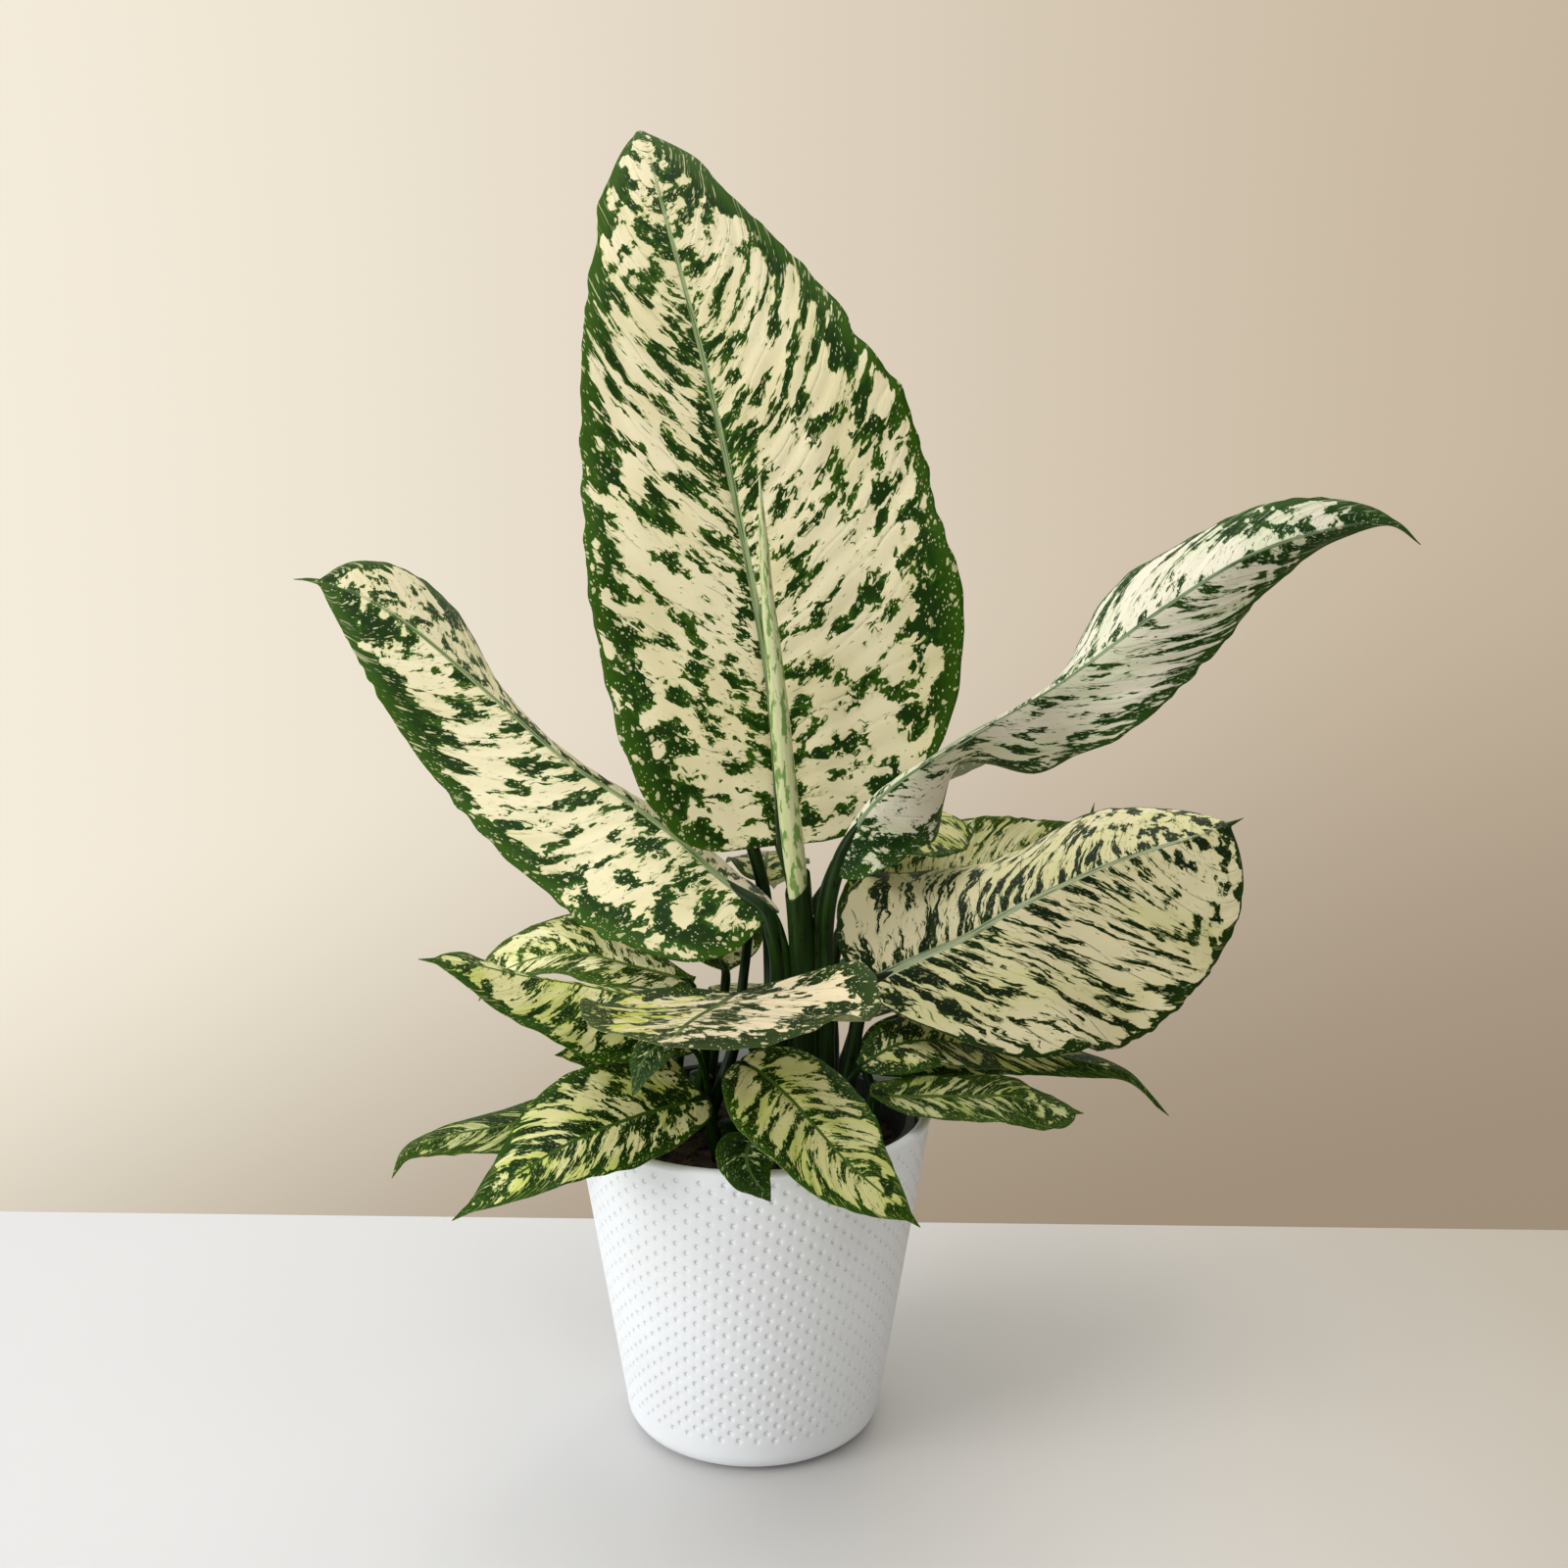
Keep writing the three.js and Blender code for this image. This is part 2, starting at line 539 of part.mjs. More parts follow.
// A point of a blade's middle surface. share runs from base to tip, and across from -1 on the left
// margin, over 0 on the midrib, to 1 on the right margin. Each half is an arc across the leaf,
// with a wave that grows towards its margin, and base lobes that reach back past the stalk.
function bladePoint(leaf, curve, share, across) {
  const half = across < 0 ? leaf.left : leaf.right;
  const reach = Math.abs(across);
  const tangent = curve.getTangentAt(share);
  const right = new THREE.Vector3().crossVectors(tangent, faceAt(leaf, share)).normalize();
  const up = new THREE.Vector3().crossVectors(right, tangent);
  const width = halfWidth(half, leaf.stalkRadii[1], share);
  const fullness = width / half.width;
  const lift = THREE.MathUtils.degToRad(along(half.lift, share));
  const turn = THREE.MathUtils.degToRad(along(half.curl, share)) * reach;
  const out = width * reach * arcMean(Math.cos, lift, turn);
  const phase = 2 * Math.PI * leaf.wave.count * share + (across < 0 ? 0 : Math.PI / 2);
  const wave = leaf.wave.height * fullness * reach ** 2 * Math.sin(phase);
  const rise = width * reach * arcMean(Math.sin, lift, turn) + wave;
  const back = leaf.lobe * fullness * reach * Math.max(0, 1 - share / LOBE_END) ** 2;
  return curve.getPointAt(share)
    .addScaledVector(right, Math.sign(across) * out)
    .addScaledVector(up, rise)
    .addScaledVector(tangent, -back);
}

// The blade: an upper and a lower face with the same rows, columns and diagonals, joined round the
// margin. Rows follow the side veins, so they lean towards the tip on their way out.
function blade(leaf, curve) {
  const columns = [];
  for (let i = -leaf.columns; i <= leaf.columns; i += 1) {
    const even = (Math.abs(i) - 1) / (leaf.columns - 1);
    const reach = i === 0 ? 0 : THREE.MathUtils.lerp(RIB_SHARE, 1, even);
    columns.push(Math.sign(i) * reach);
  }
  const upper = [];
  const lower = [];
  for (let row = 0; row <= leaf.rows; row += 1) {
    const even = row / leaf.rows;
    const vein = THREE.MathUtils.lerp(even, (1 - Math.cos(Math.PI * even)) / 2, ROW_EASE);
    for (const across of row < leaf.rows ? columns : [0]) {
      const lean = 4 * VEIN_SWEEP * vein * (1 - vein) * Math.abs(across) ** VEIN_BEND;
      const share = vein + lean;
      const ahead = Math.min(share + SLOPE_STEP, 1);
      const behind = Math.max(share - SLOPE_STEP, 0);
      const length = bladePoint(leaf, curve, ahead, across).sub(bladePoint(leaf, curve, behind, across));
      const side = bladePoint(leaf, curve, share, across + SLOPE_STEP);
      side.sub(bladePoint(leaf, curve, share, across - SLOPE_STEP));
      const normal = side.cross(length).normalize();
      const middle = bladePoint(leaf, curve, share, across);
      const rib = across === 0 ? RIB_HEIGHT * (1 - share) : 0;
      upper.push(middle.clone().addScaledVector(normal, BLADE_THICKNESS / 2));
      lower.push(middle.clone().addScaledVector(normal, -BLADE_THICKNESS / 2 - rib));
    }
  }
  const wide = columns.length;
  const count = upper.length;
  const apex = count - 1;
  const triangles = [];
  const addBoth = (a, b, c) => {
    triangles.push([a, b, c], [count + a, count + c, count + b]);
  };
  const addEdge = (a, b) => {
    triangles.push([b, a, count + a], [b, count + a, count + b]);
  };
  for (let row = 0; row < leaf.rows; row += 1) {
    const start = row * wide;
    const last = row === leaf.rows - 1;
    for (let i = 0; i < wide - 1; i += 1) {
      const a = start + i;
      if (last) {
        addBoth(a, a + 1, apex);
      } else if (i < leaf.columns) {
        addBoth(a, a + 1, a + wide);
        addBoth(a + 1, a + 1 + wide, a + wide);
      } else {
        addBoth(a, a + 1 + wide, a + wide);
        addBoth(a, a + 1, a + 1 + wide);
      }
    }
    addEdge(last ? apex : start + wide, start);
    addEdge(start + wide - 1, last ? apex : start + 2 * wide - 1);
  }
  for (let i = 0; i < wide - 1; i += 1) {
    addEdge(i, i + 1);
  }
  return toSolid([...upper, ...lower], triangles);
}

// The stalk: from its root to the base of the blade, and a little way on under the midrib.
function stalk(leaf, curve) {
  const centres = leaf.stalk.map(toPoint);
  const [rootRadius, neckRadius] = leaf.stalkRadii;
  for (const share of STALK_JOINS) {
    const depth = BLADE_THICKNESS + STALK_SINK * neckRadius;
    centres.push(bladePoint(leaf, curve, share, 0).addScaledVector(faceAt(leaf, share), -depth));
  }
  const radii = [rootRadius, rootRadius, neckRadius, neckRadius, STALK_END_RADIUS];
  return bar(centres, radii, STALK_SIDES, STALK_STEPS);
}

function leafSolid(leaf, keptClear) {
  const curve = new THREE.CatmullRomCurve3(leaf.midrib.map(toPoint));
  return blade(leaf, curve).add(stalk(leaf, curve)).subtract(keptClear);
}

// ---- Pot, nursery pot and soil ------------------------------------------------------------------

// A body turned about the pot's axis from a profile of [radius, height] pairs.
function turned(profile, sides) {
  const geometry = new THREE.LatheGeometry(profile.map(([r, z]) => new THREE.Vector2(r, z)), sides);
  return geometry.rotateX(Math.PI / 2);
}

// Points of an arc of a profile, both ends included.
function arc(centreRadius, centreHeight, radius, from, to) {
  const points = [];
  for (let i = 0; i <= ARC_STEPS; i += 1) {
    const angle = THREE.MathUtils.degToRad(THREE.MathUtils.lerp(from, to, i / ARC_STEPS));
    points.push([centreRadius + radius * Math.cos(angle), centreHeight + radius * Math.sin(angle)]);
  }
  return points;
}

const POT_BASE = PAD_HEIGHT + GAP;
const POT_TAPER = (POT_RIM_RADIUS - POT_WALL_START_RADIUS) / POT_HEIGHT;

// Outer radius of the pot's wall at a height above the ground.
const potRadius = (height) => POT_WALL_START_RADIUS + POT_TAPER * height;

function potGeometry() {
  const lip = POT_WALL / 2;
  const cornerRadius = potRadius(POT_BASE + POT_CORNER_HEIGHT) - POT_FOOT_RADIUS;
  const corner = arc(0, 0, 1, -90, 0).map(([x, z]) => [
    POT_FOOT_RADIUS + cornerRadius * x,
    POT_BASE + POT_CORNER_HEIGHT * (1 + z),
  ]);
  const floor = POT_BASE + POT_FLOOR;
  return turned([
    [0, POT_BASE],
    ...corner,
    ...arc(POT_RIM_RADIUS - lip, POT_HEIGHT - lip, lip, 0, 180),
    [potRadius(floor) - POT_WALL, floor],
    [0, floor],
  ], POT_SIDES);
}

const LINER_BASE = POT_BASE + POT_FLOOR + GAP;
const LINER_TAPER = (LINER_RADIUS - LINER_BASE_RADIUS) / (LINER_TOP - LINER_BASE);

// Outer radius of the nursery pot at a height above the ground.
const linerRadius = (height) => LINER_BASE_RADIUS + LINER_TAPER * (height - LINER_BASE);

function linerSolid() {
  const lipFoot = LINER_TOP - LINER_LIP_HEIGHT;
  const lipRadius = linerRadius(LINER_TOP) + LINER_LIP;
  const floor = LINER_BASE + LINER_WALL;
  let solid = geometryToSolid(turned([
    [0, LINER_BASE],
    [LINER_BASE_RADIUS, LINER_BASE],
    [linerRadius(lipFoot), lipFoot],
    [lipRadius, lipFoot + LINER_LIP],
    [lipRadius, LINER_TOP],
    [linerRadius(LINER_TOP) - LINER_WALL, LINER_TOP],
    [linerRadius(floor) - LINER_WALL, floor],
    [0, floor],
  ], LINER_SIDES));
  for (let i = 0; i < DRAIN_COUNT; i += 1) {
    const angle = (2 * Math.PI * i) / DRAIN_COUNT;
    const drain = new THREE.CylinderGeometry(DRAIN_RADIUS, DRAIN_RADIUS, 4 * LINER_WALL, PAD_SIDES);
    drain.rotateX(Math.PI / 2);
    drain.translate(DRAIN_CIRCLE_RADIUS * Math.cos(angle), DRAIN_CIRCLE_RADIUS * Math.sin(angle), LINER_BASE);
    solid = solid.subtract(geometryToSolid(drain));
  }
  return solid;
}

function soilSolid(keptClear) {
  const base = LINER_BASE + LINER_WALL + GAP;
  const inset = LINER_WALL + GAP;
  return geometryToSolid(turned([
    [0, base],
    [linerRadius(base) - inset, base],
    [linerRadius(SOIL_TOP) - inset, SOIL_TOP],
    [SOIL_SHOULDER.reach * linerRadius(SOIL_TOP), SOIL_TOP + SOIL_SHOULDER.rise * SOIL_MOUND],
    [0, SOIL_TOP + SOIL_MOUND],
  ], SOIL_SIDES)).subtract(keptClear);
}

// ---- Shoots -------------------------------------------------------------------------------------

const shootBar = (shoot, extra) => bar(
  shoot.line.map(toPoint),
  shoot.radii.map((radius) => radius + extra),
  SHOOT_SIDES,
  SHOOT_STEPS,
);

// The young leaf's sheath: a tube open at both ends, its mouth cut at a slant.
function sheathSolid() {
  const line = SHEATH.line.map(toPoint);
  const tube = bar(line, SHEATH.radii, SHOOT_SIDES, SHEATH_STEPS);
  const bore = bar(line, SHEATH.bore, SHOOT_SIDES, SHEATH_STEPS);
  const face = toPoint(SHEATH.mouthFace).normalize();
  const cutter = new THREE.BoxGeometry(SHEATH_CUTTER, SHEATH_CUTTER, SHEATH_CUTTER);
  cutter.translate(0, 0, SHEATH_CUTTER / 2);
  cutter.applyQuaternion(new THREE.Quaternion().setFromUnitVectors(new THREE.Vector3(0, 0, 1), face));
  cutter.translate(...SHEATH.mouth);
  return tube.subtract(bore).subtract(geometryToSolid(cutter));
}

// ---- The plant ----------------------------------------------------------------------------------

const MATERIALS = {
  glaze: new THREE.MeshStandardMaterial({ color: 0xf2f1ef, roughness: 0.5, metalness: 0 }),
  rubber: new THREE.MeshStandardMaterial({ color: 0x1b1b1b, roughness: 0.9, metalness: 0 }),
  plastic: new THREE.MeshStandardMaterial({ color: 0x141414, roughness: 0.6, metalness: 0 }),
  soil: new THREE.MeshStandardMaterial({ color: 0x2a1f18, roughness: 1, metalness: 0 }),
  stem: new THREE.MeshStandardMaterial({ color: 0x1f4a1c, roughness: 0.35, metalness: 0 }),
  spear: new THREE.MeshStandardMaterial({ color: 0xaeb987, roughness: 0.4, metalness: 0 }),
  leaf: new THREE.MeshStandardMaterial({ color: 0xb9c493, roughness: 0.45, metalness: 0 }),
};

const plant = new THREE.Group();

function addMesh(name, geometry, material) {
  const mesh = new THREE.Mesh(geometry, material.clone());
  mesh.name = name;
  plant.add(mesh);
  return mesh;
}

for (let i = 0; i < PAD_COUNT; i += 1) {
  const angle = PAD_FIRST_ANGLE + (2 * Math.PI * i) / PAD_COUNT;
  const pad = new THREE.CylinderGeometry(PAD_RADIUS, PAD_RADIUS, PAD_HEIGHT, PAD_SIDES);
  pad.rotateX(Math.PI / 2);
  const mesh = addMesh(`pad_${i + 1}`, pad, MATERIALS.rubber);
  mesh.position.set(PAD_CIRCLE_RADIUS * Math.cos(angle), PAD_CIRCLE_RADIUS * Math.sin(angle), PAD_HEIGHT / 2);
}

addMesh('pot', potGeometry(), MATERIALS.glaze);
addMesh('nursery_pot', toGeometry(linerSolid()), MATERIALS.plastic);

const spear = bar(SPEAR.line.map(toPoint), SPEAR.radii, SHOOT_SIDES, SPEAR_STEPS);
const sheath = sheathSolid();
const shootsKeptClear = wasm.Manifold.union(SHOOTS.map((shoot) => shootBar(shoot, GAP)));

addMesh('soil', toGeometry(soilSolid(shootsKeptClear)), MATERIALS.soil);
for (const shoot of SHOOTS) {
  addMesh(shoot.name, toGeometry(shootBar(shoot, 0)), MATERIALS.stem);
}
addMesh('young_leaf', toGeometry(spear), MATERIALS.spear);
addMesh('sheath', toGeometry(sheath), MATERIALS.stem);
for (const leaf of LEAVES) {
  addMesh(leaf.name, toGeometry(leafSolid(leaf, shootsKeptClear)), MATERIALS.leaf);
}

export default plant;
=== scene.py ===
"""A potted dieffenbachia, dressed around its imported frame.

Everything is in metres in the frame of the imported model: +Z is up, the origin is on the ground under
the middle of the pot, and the front of the plant faces -Y. Sizes in the tables are millimetres.
"""

import logging
import math
from dataclasses import dataclass, field
from enum import Enum
from typing import Sequence

import bpy
import numpy as np
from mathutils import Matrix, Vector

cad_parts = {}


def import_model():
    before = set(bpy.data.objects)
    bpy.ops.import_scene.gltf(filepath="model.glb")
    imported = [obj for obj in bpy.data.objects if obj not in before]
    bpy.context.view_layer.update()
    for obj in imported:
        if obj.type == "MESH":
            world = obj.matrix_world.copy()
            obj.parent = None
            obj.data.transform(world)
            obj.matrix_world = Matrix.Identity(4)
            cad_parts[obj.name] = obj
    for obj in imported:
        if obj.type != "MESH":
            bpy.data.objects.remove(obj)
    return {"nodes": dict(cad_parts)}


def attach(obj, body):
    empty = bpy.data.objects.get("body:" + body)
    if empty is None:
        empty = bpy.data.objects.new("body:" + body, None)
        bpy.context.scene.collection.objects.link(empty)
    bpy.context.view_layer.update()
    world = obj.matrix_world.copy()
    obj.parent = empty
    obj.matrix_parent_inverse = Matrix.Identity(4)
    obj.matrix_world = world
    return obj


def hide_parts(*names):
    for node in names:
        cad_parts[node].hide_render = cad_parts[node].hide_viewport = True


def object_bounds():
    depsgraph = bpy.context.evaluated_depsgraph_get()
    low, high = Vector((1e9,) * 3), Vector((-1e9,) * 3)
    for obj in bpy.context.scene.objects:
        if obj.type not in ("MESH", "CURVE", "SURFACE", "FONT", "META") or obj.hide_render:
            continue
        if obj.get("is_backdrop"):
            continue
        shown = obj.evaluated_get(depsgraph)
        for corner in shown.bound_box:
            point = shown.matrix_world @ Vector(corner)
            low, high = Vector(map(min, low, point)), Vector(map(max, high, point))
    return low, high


LOG = logging.getLogger("dieffenbachia")

MM = 0.001
BODY = "root"

UV_UNIT = 100.0  # millimetres of surface in one unit of a piece's UV map

# Blades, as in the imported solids
DRIP_SHARE = 0.05
DRIP_WIDTH = 1.6
LOBE_END = 0.3
NECK_FADE = 8
STALK_JOINS = (0.01, 0.06, 0.12)
STALK_SINK = 0.4
SOLID_THICKNESS = 0.9

# Blades, as they are shown
BLADE_THICKNESS = 0.7
MARGIN_THICKNESS = 0.35
TIP_WIDTH = 0.15
VEIN_SWEEP = 0.24
VEIN_BEND = 1.15
VEIN_PITCH = 16.0  # between the side veins of a large leaf
VEINS_PER_LEAF = 20
QUILT = 0.7  # how far the blade swells between two side veins
GROOVE_DEPTH = 0.8
GROOVE_WIDTH = 2.2
RIPPLE = 0.7  # fine waves of the margin
SCALLOP = 0.7  # how far the margin draws in at the end of a side vein
STALK_SIDES = 20
STALK_TIP = 0.7  # radius where a stalk ends, under the midrib
VEIN_WANDER = 0.16  # how far a side vein strays, as a share of the distance between two
SWELL_DEPTH = 0.9  # slow unevenness of the blade
LEAF_SHIFT = 137.0  # how far the pattern moves along from one leaf to the next
LEAF_ASIDE = 60.0  # and how far aside
LEAF_CYCLE = 7  # leaves after which the move aside starts again
WING_RADIUS = 3.2  # rolled margin of a clasping stalk
WING_END = 0.76  # share of the stalk that it runs up
FULL_WIDTH = 58.0  # half width of a leaf whose pattern has its full size
SMALLEST_GRAIN = 0.5  # and the least share of it on a small leaf


class Pattern(Enum):
    """The leaf finishes of the plant."""

    IVORY = "ivory"
    FROSTED = "frosted"
    STREAKED = "streaked"
    LIME = "lime"
    DULL = "dull"
    ROSY = "rosy"
    DEEP = "deep"
    OLIVE = "olive"
    MOSS = "moss"


# ---- Numbers ------------------------------------------------------------------------------------


def ease(value: np.ndarray, low: float, high: float) -> np.ndarray:
    """Smoothstep: 3x^2 - 2x^3 of the share x that a value has gone from low to high.

    Args:
        value: Any array.
        low: Where the result is 0.
        high: Where the result is 1.

    Returns:
        An array between 0 and 1.
    """
    share = np.clip((value - low) / (high - low), 0.0, 1.0)
    return share * share * (3.0 - 2.0 * share)


def along(stations: Sequence[float], share: np.ndarray) -> np.ndarray:
    """Value part of the way through evenly spaced stations, eased between neighbours.

    Args:
        stations: Values from start to end.
        share: Shares of the way, 0 to 1.

    Returns:
        One value for each share.
    """
    values = np.asarray(stations, float)
    place = np.clip(share, 0.0, 1.0) * (len(values) - 1)
    index = np.clip(np.floor(place).astype(int), 0, max(len(values) - 2, 0))
    following = np.minimum(index + 1, len(values) - 1)
    blend = ease(place - index, 0.0, 1.0)
    return values[index] + (values[following] - values[index]) * blend


def unit(vectors: np.ndarray) -> np.ndarray:
    """Vectors of length 1 along the last axis."""
    return vectors / np.maximum(np.linalg.norm(vectors, axis=-1, keepdims=True), 1e-12)


def chord(angle: np.ndarray, turn: np.ndarray) -> tuple[np.ndarray, np.ndarray]:
    """Mean of cos and of sin over an arc that starts at one angle and turns by another.

    Both means are the value at the middle of the arc times sin(h)/h, with h half of the turn.

    Args:
        angle: Start of the arc in radians.
        turn: How far it turns in radians.

    Returns:
        The mean of cos and the mean of sin.
    """
    half = turn / 2.0
    shrink = np.sinc(half / np.pi)
    return np.cos(angle + half) * shrink, np.sin(angle + half) * shrink


def swell(first: np.ndarray, second: np.ndarray, size: float, seed: int) -> np.ndarray:
    """Smooth noise between about -1 and 1: the mean of nine sine waves in seeded directions.

    Args:
        first: First coordinate.
        second: Second coordinate.
        size: Rough distance between two swells.
        seed: Seed of the directions and phases.

    Returns:
        An array of the coordinates' shape.
    """
    draw = np.random.default_rng(seed)
    total = np.zeros(np.broadcast(first, second).shape)
    for turn, phase, stretch in draw.random((9, 3)):
        angle = 2.0 * np.pi * turn
        reach = 2.0 * np.pi / (size * (0.6 + 0.9 * stretch))
        total += np.sin(reach * (first * np.cos(angle) + second * np.sin(angle)) + 2.0 * np.pi * phase)
    return total / 4.0


class Line:
    """A centripetal Catmull-Rom curve, read by share of its length."""

    SAMPLES = 1200

    def __init__(self, points: Sequence[Sequence[float]]) -> None:
        """Lays the curve through points.

        Args:
            points: Points in millimetres.
        """
        inner = np.asarray(points, float)
        self.spans = len(inner) - 1
        self.knots = np.vstack([2 * inner[0] - inner[1], inner, 2 * inner[-1] - inner[-2]])
        self.times = np.linspace(0.0, 1.0, self.SAMPLES)
        steps = np.linalg.norm(np.diff(self._raw(self.times), axis=0), axis=1)
        lengths = np.concatenate([[0.0], np.cumsum(steps)])
        self.length = float(lengths[-1])
        self.shares = lengths / self.length

    def _raw(self, time: np.ndarray) -> np.ndarray:
        """Points of the curve at times: a cubic in each span, its slopes set by knot distances.

        Args:
            time: Times from 0 to 1, with the same time for each span.

        Returns:
            Points, one row for each time.
        """
        place = np.clip(time, 0.0, 1.0) * self.spans
        index = np.minimum(place.astype(int), self.spans - 1)
        weight = (place - index)[..., None]
        before, start, end, after = (self.knots[index + k] for k in range(4))
        gaps = []
        for a, b in ((before, start), (start, end), (end, after)):
            gaps.append(np.sqrt(np.linalg.norm(b - a, axis=-1, keepdims=True)))
        first, middle, last = gaps
        slope_in = (start - before) / first - (end - before) / (first + middle) + (end - start) / middle
        slope_out = (end - start) / middle - (after - start) / (middle + last) + (after - end) / last
        slope_in = slope_in * middle
        slope_out = slope_out * middle
        square = -3 * start + 3 * end - 2 * slope_in - slope_out
        cube = 2 * start - 2 * end + slope_in + slope_out
        return start + slope_in * weight + square * weight**2 + cube * weight**3

    def point(self, share: np.ndarray) -> np.ndarray:
        """Points at shares of the length."""
        return self._raw(np.interp(share, self.shares, self.times))

    def tangent(self, share: np.ndarray) -> np.ndarray:
        """Directions of the curve at shares of the length."""
        time = np.interp(share, self.shares, self.times)
        step = 1e-4
        return unit(self._raw(time + step) - self._raw(time - step))


# ---- Meshes -------------------------------------------------------------------------------------


def grid_faces(rows: int, columns: int, wrap: bool = False, start: int = 0) -> np.ndarray:
    """Quads of a grid of points, counter-clockwise seen with columns to the right and rows up.

    Args:
        rows: Rows of points.
        columns: Points in a row.
        wrap: Joins the last column to the first.
        start: Index of the first point.

    Returns:
        An array of quads.
    """
    index = np.arange(rows * columns).reshape(rows, columns) + start
    if wrap:
        index = np.concatenate([index, index[:, :1]], axis=1)
    corners = (index[:-1, :-1], index[:-1, 1:], index[1:, 1:], index[1:, :-1])
    return np.stack([corner.ravel() for corner in corners], axis=1)


def make_piece(
    name: str,
    points: np.ndarray,
    quads: np.ndarray,
    finishes: Sequence[bpy.types.Material],
    uv: np.ndarray | None = None,
    values: dict[str, np.ndarray] | None = None,
    finish_index: np.ndarray | None = None,
    triangles: np.ndarray | None = None,
) -> bpy.types.Object:
    """Makes a smooth mesh object at the origin and rides it on the plant's body.

    Args:
        name: Name of the piece.
        points: Points in millimetres.
        quads: Four point indices for each face.
        finishes: Materials, in slot order.
        uv: UV of each point.
        values: Float attributes, one number for each point.
        finish_index: Material slot of each quad.
        triangles: Three point indices for each extra face.

    Returns:
        The new object.
    """
    flat = quads.astype(np.int32).ravel()
    sizes = np.full(len(quads), 4, np.int32)
    if triangles is not None and len(triangles):
        flat = np.concatenate([flat, triangles.astype(np.int32).ravel()])
        sizes = np.concatenate([sizes, np.full(len(triangles), 3, np.int32)])
    mesh = bpy.data.meshes.new(name)
    mesh.vertices.add(len(points))
    mesh.vertices.foreach_set("co", (points * MM).astype(np.float32).ravel())
    mesh.loops.add(len(flat))
    mesh.loops.foreach_set("vertex_index", flat)
    mesh.polygons.add(len(sizes))
    mesh.polygons.foreach_set("loop_start", np.concatenate([[0], np.cumsum(sizes)[:-1]]).astype(np.int32))
    mesh.update(calc_edges=True)
    mesh.polygons.foreach_set("use_smooth", np.ones(len(sizes), bool))
    for finish in finishes:
        mesh.materials.append(finish)
    if finish_index is not None:
        slots = np.zeros(len(sizes), np.int32)
        slots[: len(finish_index)] = finish_index
        mesh.polygons.foreach_set("material_index", slots)
    if uv is not None:
        layer = mesh.uv_layers.new(name="surface")
        layer.data.foreach_set("uv", uv[flat].astype(np.float32).ravel())
    for key, numbers in (values or {}).items():
        attribute = mesh.attributes.new(key, "FLOAT", "POINT")
        attribute.data.foreach_set("value", numbers.astype(np.float32).ravel())
    mesh.validate(clean_customdata=False)
    piece = bpy.data.objects.new(name, mesh)
    bpy.context.scene.collection.objects.link(piece)
    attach(piece, BODY)
    return piece


def tube(line_points: np.ndarray, radii: np.ndarray, sides: int) -> tuple[np.ndarray, np.ndarray, np.ndarray]:
    """A closed round tube along points: centre + radius (cos a, sin a) in the plane across the path.

    The plane's first direction is carried along with the least turning.

    Args:
        line_points: Centre points in millimetres.
        radii: A radius for each, or a table of radii with one column for each side.
        sides: Points round the tube.

    Returns:
        Points, quads and UV. The end rings are drawn in to their middle.
    """
    tangent = unit(np.gradient(line_points, axis=0))
    side = np.empty_like(tangent)
    side[0] = unit(np.cross(tangent[0], (0.31, -0.92, 0.17)))
    for i in range(1, len(tangent)):
        side[i] = unit(side[i - 1] - np.dot(side[i - 1], tangent[i]) * tangent[i])
    other = np.cross(tangent, side)
    angle = np.linspace(0.0, 2.0 * np.pi, sides, endpoint=False)
    reach = np.broadcast_to(np.asarray(radii, float).reshape(len(line_points), -1), (len(line_points), sides))
    ring = side[:, None] * np.cos(angle)[None, :, None] + other[:, None] * np.sin(angle)[None, :, None]
    body = line_points[:, None] + ring * reach[..., None]
    first = line_points[:1, None] + ring[:1] * 0.02
    last = line_points[-1:, None] + ring[-1:] * 0.02
    points = np.concatenate([first, body, last]).reshape(-1, 3)
    rows = len(line_points) + 2
    quads = grid_faces(rows, sides, wrap=True)
    steps = np.linalg.norm(np.diff(line_points, axis=0), axis=1)
    length = np.concatenate([[0.0, 0.0], np.cumsum(steps), [steps.sum()]])
    around = angle * float(np.mean(reach))
    uv = np.stack(np.meshgrid(length, around, indexing="ij"), axis=-1).reshape(-1, 2) / UV_UNIT
    return points, quads, uv


def lathe(
    name: str,
    profile: np.ndarray,
    sides: int,
    finish: bpy.types.Material,
    push: np.ndarray | None = None,
) -> bpy.types.Object:
    """A body turned about the pot's axis: (r cos a, r sin a, z) for each profile pair (r, z).

    Args:
        name: Name of the piece.
        profile: Radius and height pairs, run so that the outside is on their right hand.
        sides: Points round the axis.
        finish: Its material.
        push: Millimetres added to the radius and to the height of each point of the grid.

    Returns:
        The new object.
    """
    angle = np.linspace(0.0, 2.0 * np.pi, sides, endpoint=False)
    radius = np.broadcast_to(profile[:, :1], (len(profile), sides)).copy()
    height = np.broadcast_to(profile[:, 1:], (len(profile), sides)).copy()
    if push is not None:
        radius += push[..., 0]
        height += push[..., 1]
    points = np.stack([radius * np.cos(angle), radius * np.sin(angle), height], axis=-1)
    quads = grid_faces(len(profile), sides, wrap=True)
    return make_piece(name, points.reshape(-1, 3), quads, [finish])


def arc(centre: tuple[float, float], radius: float, start: float, end: float, steps: int) -> np.ndarray:
    """Points of an arc: centre + radius (cos a, sin a), from one angle in degrees to another."""
    angle = np.radians(np.linspace(start, end, steps + 1))
    return np.stack([centre[0] + radius * np.cos(angle), centre[1] + radius * np.sin(angle)], axis=1)


# ---- Shader graphs ------------------------------------------------------------------------------


